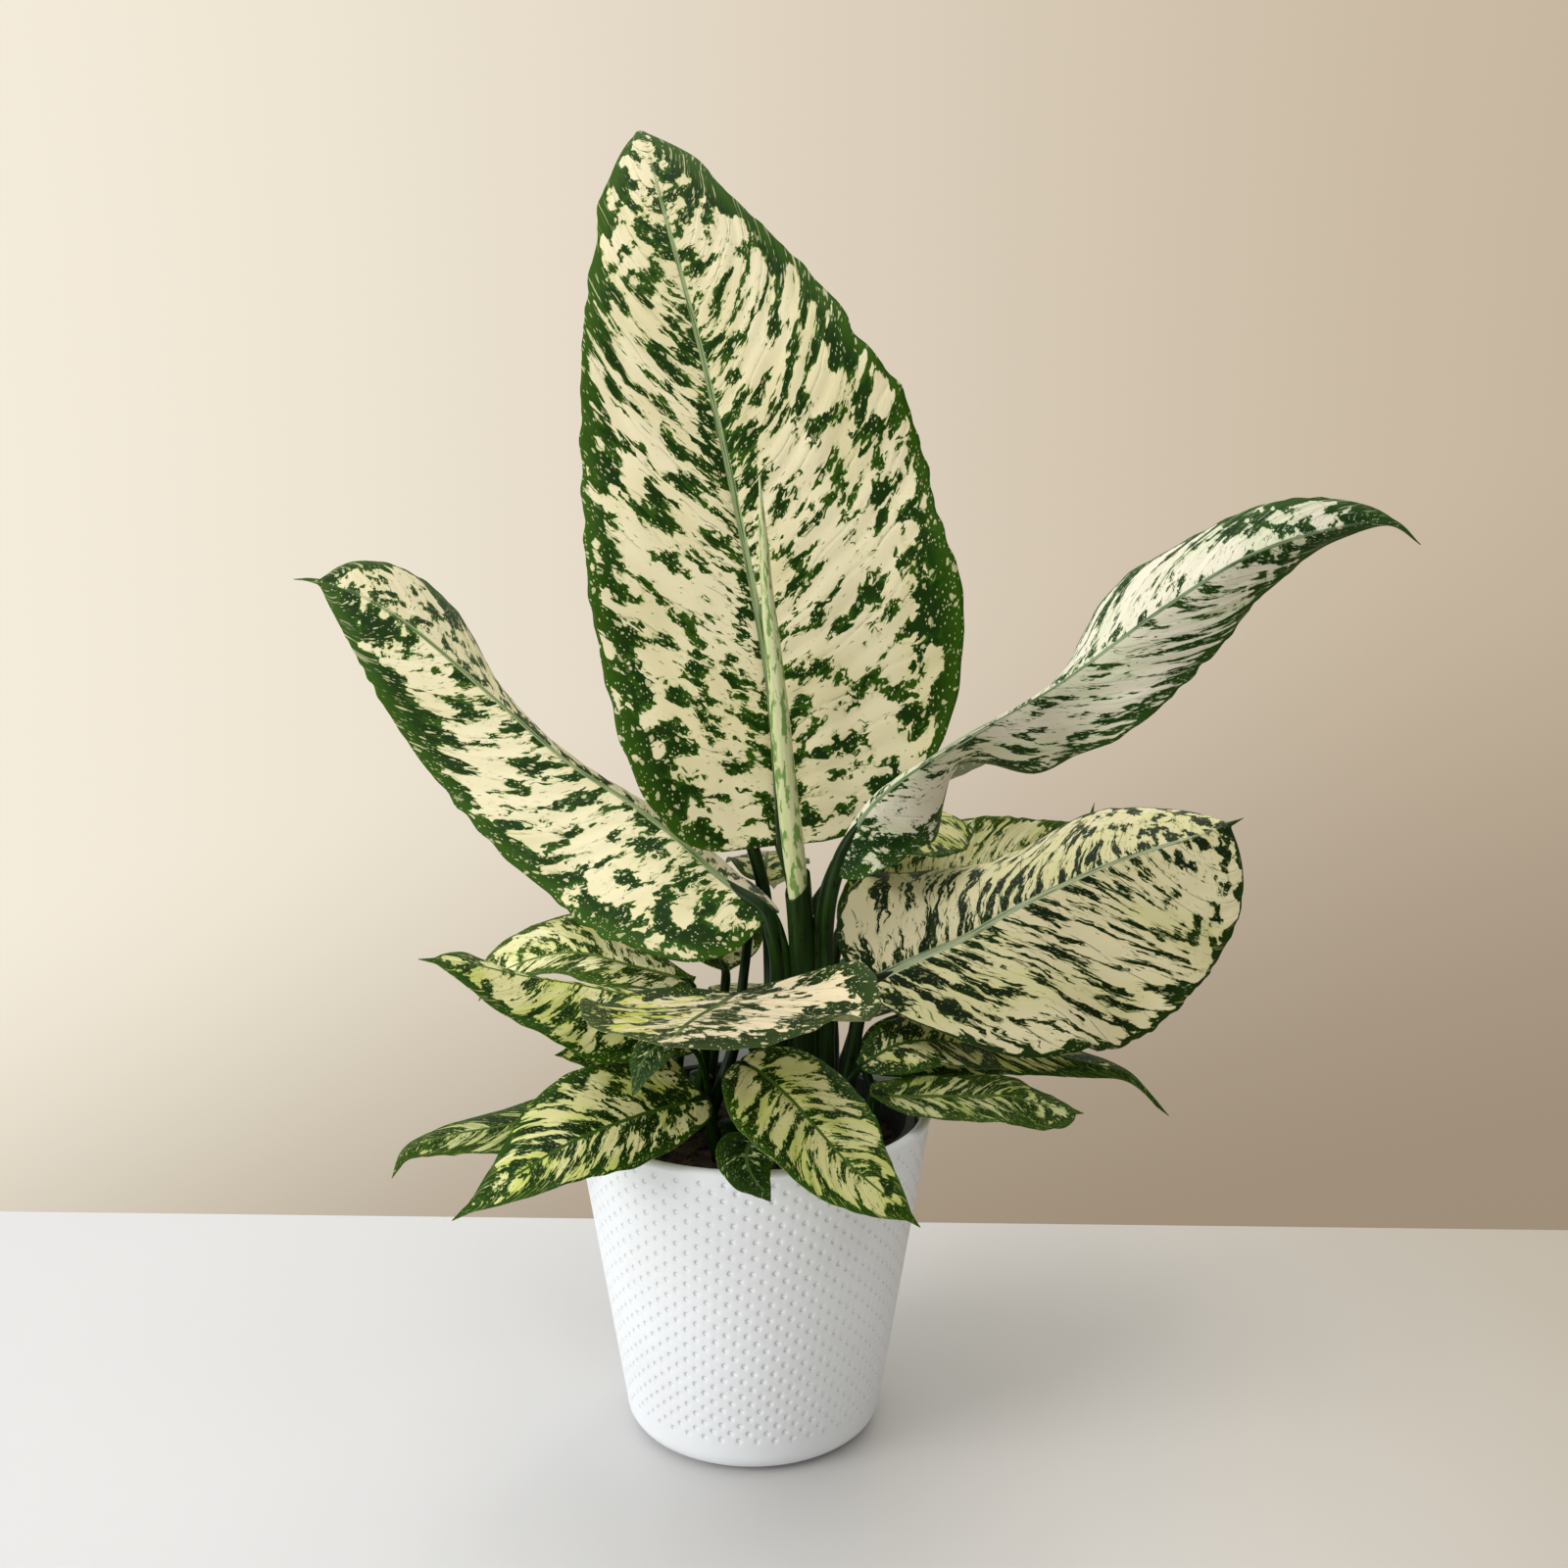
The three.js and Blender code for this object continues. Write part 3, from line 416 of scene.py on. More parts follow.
class Graph:
    """Short words for wiring the nodes of one tree."""

    def __init__(self, tree: bpy.types.NodeTree) -> None:
        """Takes the tree that the nodes go into."""
        self.tree = tree

    def node(self, kind: str, **settings: object) -> bpy.types.Node:
        """A new node with its settings."""
        made = self.tree.nodes.new(kind)
        for key, value in settings.items():
            setattr(made, key, value)
        return made

    def feed(self, socket: bpy.types.NodeSocket, value: object) -> None:
        """Links a socket into another, or sets its constant."""
        if isinstance(value, bpy.types.NodeSocket):
            self.tree.links.new(value, socket)
        else:
            socket.default_value = value

    def math(self, operation: str, *values: object, clamp: bool = False) -> bpy.types.NodeSocket:
        """A Math node."""
        made = self.node("ShaderNodeMath", operation=operation, use_clamp=clamp)
        for socket, value in zip(made.inputs, values):
            self.feed(socket, value)
        return made.outputs[0]

    def total(self, *values: object) -> bpy.types.NodeSocket:
        """The sum of several values."""
        result = values[0]
        for value in values[1:]:
            result = self.math("ADD", result, value)
        return result

    def times(self, *values: object) -> bpy.types.NodeSocket:
        """The product of several values."""
        result = values[0]
        for value in values[1:]:
            result = self.math("MULTIPLY", result, value)
        return result

    def vector(self, operation: str, *values: object) -> bpy.types.NodeSocket:
        """A Vector Math node."""
        made = self.node("ShaderNodeVectorMath", operation=operation)
        for socket, value in zip(made.inputs, values):
            self.feed(socket, value)
        return made.outputs[0]

    def split(self, vector: object) -> tuple[bpy.types.NodeSocket, ...]:
        """The three parts of a vector."""
        made = self.node("ShaderNodeSeparateXYZ")
        self.feed(made.inputs[0], vector)
        return tuple(made.outputs)

    def ease(self, value: object, low: object, high: object) -> bpy.types.NodeSocket:
        """Smoothstep from 0 at low to 1 at high; low may be the larger."""
        made = self.node("ShaderNodeMapRange", interpolation_type="SMOOTHSTEP")
        for socket, number in zip(made.inputs, (value, low, high, 0.0, 1.0)):
            self.feed(socket, number)
        return made.outputs[0]

    def mix(self, share: object, first: object, second: object) -> bpy.types.NodeSocket:
        """A colour between two."""
        made = self.node("ShaderNodeMix", data_type="RGBA")
        self.feed(made.inputs[0], share)
        self.feed(made.inputs[6], first)
        self.feed(made.inputs[7], second)
        return made.outputs[2]

    def noise(
        self,
        vector: object,
        size: tuple[float, float, float],
        detail: float = 2.0,
        rough: float = 0.5,
        colour: bool = False,
    ) -> bpy.types.NodeSocket:
        """Noise whose cells measure a size in the vector's own unit.

        Args:
            vector: Place on the surface.
            size: Cell size along the vector's three parts.
            detail: Number of finer layers.
            rough: Weight of each finer layer.
            colour: Gives three values at once instead of one.

        Returns:
            The noise, around 0.5.
        """
        scaled = self.vector("MULTIPLY", vector, tuple(1.0 / part for part in size))
        made = self.node("ShaderNodeTexNoise", noise_dimensions="3D")
        self.feed(made.inputs["Vector"], scaled)
        made.inputs["Scale"].default_value = 1.0
        made.inputs["Detail"].default_value = detail
        made.inputs["Roughness"].default_value = rough
        return made.outputs[1 if colour else 0]

    def cells(self, vector: object, size: float) -> tuple[bpy.types.NodeSocket, bpy.types.NodeSocket]:
        """Distance to the nearest seeded dot, in cells, and that dot's own colour."""
        made = self.node("ShaderNodeTexVoronoi", voronoi_dimensions="3D")
        self.feed(made.inputs["Vector"], self.vector("MULTIPLY", vector, (1.0 / size,) * 3))
        made.inputs["Scale"].default_value = 1.0
        return made.outputs["Distance"], made.outputs["Color"]

    def attribute(self, name: str) -> bpy.types.NodeSocket:
        """A float attribute of the piece."""
        return self.node("ShaderNodeAttribute", attribute_name=name).outputs["Fac"]

    def bump(self, height: object, strength: float, depth: float) -> bpy.types.NodeSocket:
        """The normal of a height, with its depth in metres."""
        made = self.node("ShaderNodeBump")
        made.inputs["Strength"].default_value = strength
        made.inputs["Distance"].default_value = depth
        self.feed(made.inputs["Height"], height)
        return made.outputs[0]


def rgb(red: int, green: int, blue: int) -> tuple[float, float, float, float]:
    """A linear colour of three screen values from 0 to 255."""
    screen = np.array([red, green, blue]) / 255.0
    linear = np.where(screen <= 0.04045, screen / 12.92, ((screen + 0.055) / 1.055) ** 2.4)
    return (float(linear[0]), float(linear[1]), float(linear[2]), 1.0)


def new_material(name: str) -> tuple[bpy.types.Material, Graph, bpy.types.Node]:
    """A material with a bare Principled shader.

    Args:
        name: Name of the material.

    Returns:
        The material, its graph and its shader.
    """
    made = bpy.data.materials.new(name)
    made.use_nodes = True
    made.node_tree.nodes.clear()
    graph = Graph(made.node_tree)
    shader = graph.node("ShaderNodeBsdfPrincipled")
    output = graph.node("ShaderNodeOutputMaterial")
    graph.feed(output.inputs["Surface"], shader.outputs["BSDF"])
    return made, graph, shader


def group_tree(
    name: str, inputs: dict[str, tuple[str, object]], outputs: dict[str, str]
) -> tuple[Graph, dict, object]:
    """An empty shader group with named sockets.

    Args:
        name: Name of the group.
        inputs: Socket name to its type's last word and its usual value.
        outputs: Socket name to its type's last word.

    Returns:
        Its graph, its inputs by name, and its output node.
    """
    tree = bpy.data.node_groups.new(name, "ShaderNodeTree")
    for key, (kind, value) in inputs.items():
        socket = tree.interface.new_socket(key, in_out="INPUT", socket_type="NodeSocket" + kind)
        if value is not None:
            socket.default_value = value
    for key, kind in outputs.items():
        tree.interface.new_socket(key, in_out="OUTPUT", socket_type="NodeSocket" + kind)
    graph = Graph(tree)
    entry = graph.node("NodeGroupInput")
    leave = graph.node("NodeGroupOutput")
    return graph, {key: entry.outputs[key] for key in inputs}, leave


# ---- Leaves -------------------------------------------------------------------------------------


@dataclass(frozen=True)
class Half:
    """One half of a blade: its width, how soon it fills out, its lift and curl along the leaf."""

    width: float
    base: float
    tip: float
    lift: Sequence[float]
    curl: Sequence[float]


@dataclass(frozen=True)
class Leaf:
    """One leaf of the plant, in millimetres and degrees.

    Its midrib runs from base to tip, and `faces` turns its upper face along the way. The stalk's points run
    from root to blade, with `radii` evenly spaced along them. Each of `bumps` is a side, a share of the
    length, a height and a breadth. `wing` is the side of the stalk that has a rolled sheath margin, or 0.
    `slant` turns the streaks near the base from the side veins (0) to straight across the leaf (1).
    """

    name: str
    midrib: Sequence[Sequence[float]]
    faces: Sequence[Sequence[float]]
    left: Half
    right: Half
    lobe: float
    wave: tuple[float, float]
    stalk: Sequence[Sequence[float]]
    radii: Sequence[float]
    pattern: Pattern
    bumps: Sequence[tuple[int, float, float, float]] = ()
    wing: float = 0.0
    slant: float = 0.12


class Blade:
    """The surface of one leaf, and the piece made from it."""

    def __init__(self, leaf: Leaf, seed: int) -> None:
        """Lays the midrib of a leaf.

        Args:
            leaf: Its sizes.
            seed: Seed of its veins and ripples.
        """
        self.leaf = leaf
        self.seed = seed
        self.line = Line(leaf.midrib)

    def half_width(self, share: np.ndarray, on_left: np.ndarray) -> np.ndarray:
        """Width of one half: a bulge, a narrow point at its end and a neck at its base, as a hypotenuse.

        The bulge is (s/p)^base ((1-s)/(1-p))^tip, which is 1 at the share p = base/(base+tip).

        Args:
            share: Shares of the leaf's length.
            on_left: Which of them are on the left half.

        Returns:
            Widths in millimetres.
        """
        left, right = self.leaf.left, self.leaf.right
        width = np.where(on_left, left.width, right.width)
        base = np.where(on_left, left.base, right.base)
        tip = np.where(on_left, left.tip, right.tip)
        body = np.clip(share / (1 - DRIP_SHARE), 0.0, 1.0)
        peak = base / (base + tip)
        bulge = (body / peak) ** base * ((1 - body) / (1 - peak)) ** tip
        point = DRIP_WIDTH * np.clip((1 - share) / DRIP_SHARE, 0.0, 1.0)
        root = self.leaf.radii[-1] * (1 - share) ** NECK_FADE
        return np.sqrt((width * bulge) ** 2 + point**2 + root**2 + TIP_WIDTH**2)

    def face(self, share: np.ndarray) -> np.ndarray:
        """The way the upper face looks at shares of the length."""
        parts = [along([face[axis] for face in self.leaf.faces], share) for axis in range(3)]
        return unit(np.stack(parts, axis=-1))

    def middle(self, share: np.ndarray, across: np.ndarray) -> np.ndarray:
        """Points of the blade's middle surface.

        Each half is an arc across the leaf with a wave r^2 sin(2 pi n s) that grows towards its margin,
        and base lobes that reach back past the stalk.

        Args:
            share: Shares of the length, from base to tip.
            across: -1 on the left margin, 0 on the midrib, 1 on the right margin.

        Returns:
            Points in millimetres.
        """
        leaf = self.leaf
        on_left = across < 0
        reach = np.abs(across)
        tangent = self.line.tangent(share)
        right = unit(np.cross(tangent, self.face(share)))
        up = np.cross(right, tangent)
        width = self.half_width(share, on_left)
        fullness = width / np.where(on_left, leaf.left.width, leaf.right.width)
        lift = np.where(on_left, along(leaf.left.lift, share), along(leaf.right.lift, share))
        curl = np.where(on_left, along(leaf.left.curl, share), along(leaf.right.curl, share))
        level, steep = chord(np.radians(lift), np.radians(curl) * reach)
        height, count = leaf.wave
        phase = 2 * np.pi * count * share + np.where(on_left, 0.0, np.pi / 2)
        rise = width * reach * steep + height * fullness * reach**2 * np.sin(phase)
        back = leaf.lobe * fullness * reach * np.clip(1 - share / LOBE_END, 0.0, 1.0) ** 2
        out = np.sign(across) * width * reach * level
        lifted = self.line.point(share) + right * out[..., None] + up * rise[..., None]
        return lifted - tangent * back[..., None]

    def normal(self, share: np.ndarray, across: np.ndarray) -> np.ndarray:
        """Directions out of the upper face: the cross product of the slopes across and along."""
        step = 2e-3
        ahead = self.middle(np.minimum(share + step, 1.0), across)
        behind = self.middle(np.maximum(share - step, 0.0), across)
        side = self.middle(share, across + step) - self.middle(share, across - step)
        return unit(np.cross(side, ahead - behind))

    def build(self, finishes: Sequence[bpy.types.Material], box: np.ndarray) -> bpy.types.Object:
        """Makes the blade and its stalk as one piece.

        Rows follow the side veins: share = v + 4 S v (1 - v) |a|^B for the row v and the column a. The
        upper face swells by |cos| between two veins, falls into a groove over the midrib and ripples at
        its margin; the lower face carries a round rib. Both faces meet in a thin margin.

        Args:
            finishes: The blade's material and the stalk's.
            box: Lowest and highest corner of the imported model; nothing is let past it.

        Returns:
            The piece.
        """
        leaf = self.leaf
        length = self.line.length
        widest = max(leaf.left.width, leaf.right.width)
        grain = float(np.clip(widest / FULL_WIDTH, SMALLEST_GRAIN, 1.0))
        rows = int(np.clip(length / 1.5, 70, 220))
        columns = int(np.clip(widest / 1.7, 16, 44))
        even = np.linspace(0.0, 1.0, rows)
        vein = (0.45 * even + 0.55 * (1 - np.cos(np.pi * even)) / 2)[:, None]
        spread = np.linspace(0.0, 1.0, columns + 1) ** 1.15
        across = np.concatenate([-spread[:0:-1], spread])[None, :]
        vein, across = np.broadcast_arrays(vein, across)
        reach = np.abs(across)
        share = np.clip(vein + 4 * VEIN_SWEEP * vein * (1 - vein) * reach**VEIN_BEND, 0.0, 1.0)
        width = self.half_width(share, across < 0)
        fullness = np.clip(width / widest, 0.0, 1.0)
        foot = vein * length
        inward = (1 - reach) * width
        distance = reach * width
        pitch = max(VEIN_PITCH * 0.55, min(VEIN_PITCH, length / VEINS_PER_LEAF))
        wander = VEIN_WANDER * swell(foot, across * widest, 40.0, self.seed)
        swollen = np.abs(np.cos(np.pi * (foot / pitch + wander))) ** 0.7
        stray = 1 + swell(foot, np.sign(across) * 50.0, 9.0, self.seed + 20)
        nick = SCALLOP * (1 - swollen) + SCALLOP * stray
        nick = nick * ease(fullness, 0.15, 0.6) * grain
        for side, place, height, breadth in leaf.bumps:
            nick = nick - height * np.exp(-(((share - place) / breadth) ** 2)) * (across * side > 0)
        trimmed = across * (1 - nick * reach**5 / np.maximum(width, 1.0))
        middle = self.middle(share, trimmed)
        normal = self.normal(share, trimmed)
        inner = ease(distance, 1.5, 9.0) * ease(inward, 0.0, 10.0) * fullness
        uneven = SWELL_DEPTH * swell(foot, across * widest, 26.0, self.seed + 50) * inner
        quilt = QUILT * (swollen - 0.6) * inner + uneven * 0.35
        ripple = RIPPLE * swell(foot, np.sign(across) * 40.0, 15.0, self.seed + 90) * reach**6
        ripple = ripple * ease(share, 0.02, 0.15) * ease(share, 0.97, 0.8) * fullness
        groove = GROOVE_DEPTH * np.exp(-((distance / GROOVE_WIDTH) ** 2)) * ease(share, 0.9, 0.3)
        thickness = MARGIN_THICKNESS + (BLADE_THICKNESS - MARGIN_THICKNESS) * ease(inward, 0.0, 6.0)
        neck = leaf.radii[-1]
        rib = neck * 0.5 * (1 - share) * np.exp(-((distance / (neck * 0.8)) ** 2))
        shift = quilt + ripple
        upper = middle + normal * (shift + thickness / 2 - groove)[..., None]
        lower = middle + normal * (shift - thickness / 2 - groove * 0.6 - rib)[..., None]
        ring = np.concatenate([upper, lower[:, ::-1]], axis=1)
        wide = upper.shape[1]
        points = ring.reshape(-1, 3)
        quads = grid_faces(rows, 2 * wide, wrap=True)
        ends = []
        for row, turn in ((0, -1), (rows - 1, 1)):
            start = row * 2 * wide
            top = start + np.arange(wide)
            under = start + 2 * wide - 1 - np.arange(wide)
            cap = np.stack([top[:-1], top[1:], under[1:], under[:-1]], axis=1)
            ends.append(cap[:, ::turn])
        quads = np.concatenate([quads, *ends])
        offset = LEAF_SHIFT * self.seed

        def both(numbers: np.ndarray) -> np.ndarray:
            """The numbers of the upper face, then those of the lower one from right to left."""
            return np.concatenate([numbers, numbers[:, ::-1]], axis=1).ravel()

        signed = both(np.sign(across) * distance)
        drawn = foot + (share * length - foot) * (leaf.slant + (0.75 - leaf.slant) * ease(vein, 0.4, 0.95))
        aside = signed / grain + LEAF_ASIDE * (self.seed % LEAF_CYCLE)
        uv = np.stack([both(drawn) / grain + offset, aside], axis=-1) / UV_UNIT
        values = {
            "vein": both(foot / pitch + wander),
            "edge": both(np.broadcast_to(inward, share.shape)) / grain,
            "share": both(share),
            "middle": signed / grain,
            "under": np.concatenate([np.zeros_like(share), np.ones_like(share)], axis=1).ravel(),
        }
        stalk_points, stalk_quads, stalk_uv = self.stalk()
        count = len(points)
        total = len(stalk_points)
        slots = np.concatenate([np.zeros(len(quads), int), np.ones(len(stalk_quads), int)])
        values = {key: np.concatenate([numbers, np.zeros(total)]) for key, numbers in values.items()}
        return make_piece(
            leaf.name + "_skin",
            np.clip(np.concatenate([points, stalk_points]), box[0], box[1]),
            np.concatenate([quads, stalk_quads + count]),
            finishes,
            uv=np.concatenate([uv, stalk_uv + offset / UV_UNIT]),
            values=values,
            finish_index=slots,
        )

    def stalk(self) -> tuple[np.ndarray, np.ndarray, np.ndarray]:
        """The stalk: a tube from its root along the table's points, running on under the midrib.

        A clasping stalk has the rolled margin of its sheath as a slim tube along one side.

        Returns:
            Points, quads and UV.
        """
        leaf = self.leaf
        neck = leaf.radii[-1]
        share = np.array(STALK_JOINS)
        depth = SOLID_THICKNESS + STALK_SINK * neck
        joins = self.middle(share, np.zeros(len(share))) - self.face(share) * depth
        line = Line([*map(tuple, leaf.stalk), *map(tuple, joins)])
        steps = int(np.clip(line.length / 2.5, 24, 110))
        place = np.linspace(0.0, 1.0, steps)
        radii = along((leaf.radii[0], *leaf.radii, neck, STALK_TIP), place)
        wobble = 1.0 + 0.02 * swell(place * line.length, place, 14.0, self.seed + 7)
        points, quads, uv = tube(line.point(place), radii * wobble * 0.97, STALK_SIDES)
        if leaf.wing:
            edge = np.linspace(0.0, WING_END, steps)
            middle = line.point(edge) + np.array([leaf.wing, 0.0, 0.0]) * along(radii, edge)[:, None]
            slim = WING_RADIUS * (1 - (edge / WING_END) ** 3) + 0.2
            more, faces, more_uv = tube(middle, slim, STALK_SIDES)
            faces = faces + len(points)
            points, uv = np.concatenate([points, more]), np.concatenate([uv, more_uv])
            quads = np.concatenate([quads, faces])
        return points, quads, uv


LEAVES = (
    Leaf(
        "leaf_upright",
        midrib=(
            (12, 12, 248), (7, 26, 312), (-5, 42, 377), (-22, 62, 450),
            (-38, 86, 508), (-50, 116, 547), (-55, 134, 549),
        ),
        faces=((0, -1, 0.2), (0, -1, 0.3), (0.1, -1, 0.6)),
        left=Half(69, 0.3, 0.74, (12, 8, 0), (0, -10, -20)),
        right=Half(88, 0.46, 0.94, (-7, 4, 0), (0, -8, -20)),
        lobe=8,
        wave=(3, 3.5),
        stalk=((20, 9.5, 150.3), (20, 9.5, 200), (17, 11, 232)),
        radii=(4.5, 3.4),
        pattern=Pattern.IVORY,
        bumps=(
            (1, 0.9, 6.5, 0.045), (1, 0.585, -3.5, 0.022), (1, 0.505, 2.6, 0.02), (1, 0.36, -4, 0.06),
            (-1, 0.84, 2, 0.02), (-1, 0.785, -1.6, 0.02),
        ),
    ),
    Leaf(
        "leaf_left_high",
        midrib=(
            (7, 0, 222), (-14, 12, 235), (-31, 26, 247), (-53, 42, 260), (-82, 56, 276), (-115, 68, 302),
            (-157, 80, 335), (-180, 86, 347), (-200, 92, 352), (-208, 94, 352),
        ),
        faces=((0.1, -0.8, 0.6), (0.07, -0.86, 0.5), (0, -0.95, 0.4)),
        left=Half(58, 0.42, 0.72, (-15, -25, -10), (-10, -25, -10)),
        right=Half(52, 0.4, 0.4, (-40, -60, -20), (-40, -50, -20)),
        lobe=6,
        wave=(2, 3),
        stalk=((11, 0, 150.3), (11, 0, 190), (9, -1, 210)),
        radii=(4.5, 3.4),
        pattern=Pattern.IVORY,
        wing=1.0,
    ),
    Leaf(
        "leaf_right_high",
        midrib=(
            (33, -5, 240), (40, -8, 257), (52, -9, 273), (83, -6, 294), (122, 5, 315), (175, 24, 349),
            (208, 32, 367), (242, 38, 377), (268, 42, 379), (281, 44, 370),
        ),
        faces=((-0.3, -0.8, 0.5), (-0.1, -0.8, 0.6), (0, -0.9, 0.4), (0.1, -1, 0.2)),
        left=Half(44, 0.7, 0.85, (-40, -60, -30, 0), (-60, -60, -30, -10)),
        right=Half(38, 0.5, 0.95, (0, -40, -85, -50, -15, -15, -35, -60, -60), (-20, -30, -10, 0)),
        lobe=3,
        wave=(3, 4),
        stalk=((30, 0, 150.3), (30, 0, 200), (31, -3, 225)),
        radii=(4.5, 3.4),
        pattern=Pattern.FROSTED,
        wing=-1.0,
    ),
    Leaf(
        "leaf_right_broad",
        midrib=(
            (46, 2, 190), (67, 14, 197), (91, 27, 204), (110, 38, 212), (136, 52, 221), (160, 64, 228),
            (181, 75, 232), (201, 86, 235), (217, 96, 238), (228, 104, 240),
        ),
        faces=((0, -0.6, 0.8), (0, -0.6, 0.8), (0, -0.6, 0.8)),
        left=Half(62, 0.45, 0.5, (20, -15, -5), (-10, -40, -20)),
        right=Half(75, 0.6, 0.56, (0, -20, -20), (0, -20, -10)),
        lobe=12,
        wave=(2, 3),
        stalk=((33.3, -0.3, 126), (40, 1, 150), (44, 2, 176)),
        radii=(4.2, 3.2),
        pattern=Pattern.STREAKED,
        slant=-0.6,
    ),
    Leaf(
        "leaf_right_back",
        midrib=(
            (38, 44, 205), (76, 82, 209), (107, 114, 210), (139, 141, 214),
            (158, 157, 219), (166, 165, 224), (170, 171, 234),
        ),
        faces=((-0.1, -0.6, 0.8), (-0.1, -0.6, 0.8), (0, -0.8, 0.6)),
        left=Half(30, 0.6, 0.8, (30, 30, 20), (0, 10, 0)),
        right=Half(14, 0.5, 0.8, (0, 0, 0), (0, 0, 0)),
        lobe=3,
        wave=(1.5, 2),
        stalk=((32.9, 9.2, 128), (33, 12, 160), (34, 28, 190)),
        radii=(3.6, 2.8),
        pattern=Pattern.DULL,
    ),
    Leaf(
        "leaf_right_far",
        midrib=((46, 56, 238), (58, 64, 244), (74, 78, 246), (92, 94, 242), (104, 106, 233)),
        faces=((-0.3, -0.5, 0.8), (-0.2, -0.5, 0.8), (0, -0.5, 0.8)),
        left=Half(22, 0.5, 0.8, (0, -10, -10), (0, -10, -10)),
        right=Half(28, 0.5, 0.8, (0, -10, -10), (0, -10, -10)),
        lobe=3,
        wave=(1.5, 2),
        stalk=((22.7, 16.7, 126), (19, 28, 160), (20, 50, 200)),
        radii=(3, 2.4),
        pattern=Pattern.LIME,
    ),
    Leaf(
        "leaf_back_pale",
        midrib=((4, 56, 222), (5, 72, 228), (6, 98, 226), (8, 122, 214), (8, 144, 196)),
        faces=((0, -0.3, 1), (0, -0.2, 1), (0, 0.4, 1)),
        left=Half(20, 0.5, 0.8, (0, -10, -10), (0, -10, -10)),
        right=Half(20, 0.5, 0.8, (0, -10, -10), (0, -10, -10)),
        lobe=3,
        wave=(1.5, 2),
        stalk=((-18.6, 14, 128), (-8, 20, 160), (-4, 28, 190), (-1, 44, 210)),
        radii=(2.8, 2.2),
        pattern=Pattern.DULL,
    ),
    Leaf(
        "leaf_front",
        midrib=(
            (-7, -8, 190), (-12, -40, 196), (-19, -75, 202),
            (-23, -108, 208), (-27, -140, 211),
        ),
        faces=((0, 0, 1), (0, -0.05, 1), (0, -0.1, 1)),
        left=Half(66, 0.4, 0.7, (5, 0, -5), (25, 5, 0)),
        right=Half(50, 0.4, 0.7, (-15, -15, -5), (30, 30, 10)),
        lobe=10,
        wave=(3, 2),
        stalk=((13, -6, 130), (6, -10, 150), (-2, -9, 176)),
        radii=(3.6, 2.8),
        pattern=Pattern.ROSY,
        slant=0.9,
    ),
    Leaf(
        "leaf_left_low",
        midrib=(
            (-20, -6, 174), (-38, -12, 187), (-66, -20, 197), (-90, -30, 204),
            (-112, -40, 212), (-128, -48, 216),
        ),
        faces=((0, -0.4, 0.9), (-0.1, -0.4, 0.9), (-0.2, -0.5, 0.8)),
        left=Half(34, 0.5, 0.8, (-5, -15, 0), (0, -10, 0)),
        right=Half(30, 0.5, 0.8, (-20, -35, -10), (-10, -20, 0)),
        lobe=4,
        wave=(1.5, 2),
        stalk=((-24.9, 6.3, 128), (-21, 2, 150)),
        radii=(3, 2.4),
        pattern=Pattern.LIME,
    ),
    Leaf(
        "leaf_left_back",
        midrib=(
            (-26, 22, 186), (-54, 30, 191), (-76, 38, 194), (-93, 42, 191),
            (-113, 44, 182), (-122, 44, 170),
        ),
        faces=((0, -0.3, 0.95), (0, -0.3, 0.95), (-0.3, -0.5, 0.8)),
        left=Half(14, 0.5, 0.8, (-20, -20, -20), (0, 0, 0)),
        right=Half(23, 1, 0.6, (5, 10, 5), (0, 5, 0)),
        lobe=3,
        wave=(1.5, 2),
        stalk=((-34.2, 18.2, 128), (-33, 18, 150), (-28, 19, 172)),
        radii=(3, 2.4),
        pattern=Pattern.DULL,
    ),
    Leaf(
        "leaf_back_left",
        midrib=((-12, 46, 184), (-26, 70, 197), (-44, 98, 202), (-60, 126, 194), (-72, 146, 178)),
        faces=((0.2, -0.4, 1), (0, -0.2, 1), (-0.2, 0.3, 1)),
        left=Half(26, 0.6, 0.8, (10, 0, -10), (0, -10, -10)),
        right=Half(34, 0.5, 0.8, (10, 0, -10), (0, -10, -10)),
        lobe=3,
        wave=(1.5, 2),
        stalk=((-21.7, 20.4, 128), (-18, 30, 150), (-14, 40, 170)),
        radii=(2.8, 2.2),
        pattern=Pattern.DULL,
    ),
    Leaf(
        "leaf_left_under",
        midrib=((-27, -24, 158), (-48, -28, 168), (-65, -32, 173), (-78, -36, 173)),
        faces=((0, -0.4, 0.9), (0, -0.4, 0.9), (-0.2, -0.5, 0.8)),
        left=Half(15, 0.5, 0.7, (0, 0, 0), (0, 0, 0)),
        right=Half(16, 0.5, 0.8, (-10, -10, -10), (0, 0, 0)),
        lobe=2,
        wave=(1, 2),
        stalk=((-30.9, 7.2, 132), (-29, -8, 148)),
        radii=(2.2, 1.7),
        pattern=Pattern.DEEP,
    ),
    Leaf(
        "leaf_small_hanging",
        midrib=((-26, -60, 187), (-32, -64, 189), (-40, -69, 183), (-44, -73, 170)),
        faces=((0.2, -0.6, 0.8), (-0.4, -0.7, 0.6)),
        left=Half(9, 0.5, 0.8, (10, 0), (0, 0)),
        right=Half(9, 0.5, 0.8, (-20, -30), (0, 0)),
        lobe=1,
        wave=(0.5, 1),
        stalk=((-14.6, -33.5, 136), (-17, -34, 156), (-21, -50, 179)),
        radii=(1.8, 1.2),
        pattern=Pattern.MOSS,
    ),
    Leaf(
        "leaf_front_left",
        midrib=(
            (-18, -42, 158), (-43, -62, 158), (-66, -78, 154),
            (-86, -92, 146), (-108, -102, 133),
        ),
        faces=((0, -0.5, 0.85), (0, -0.5, 0.85), (-0.2, -0.5, 0.8)),
        left=Half(21, 0.55, 0.9, (0, -5, 0), (0, 0, 0)),
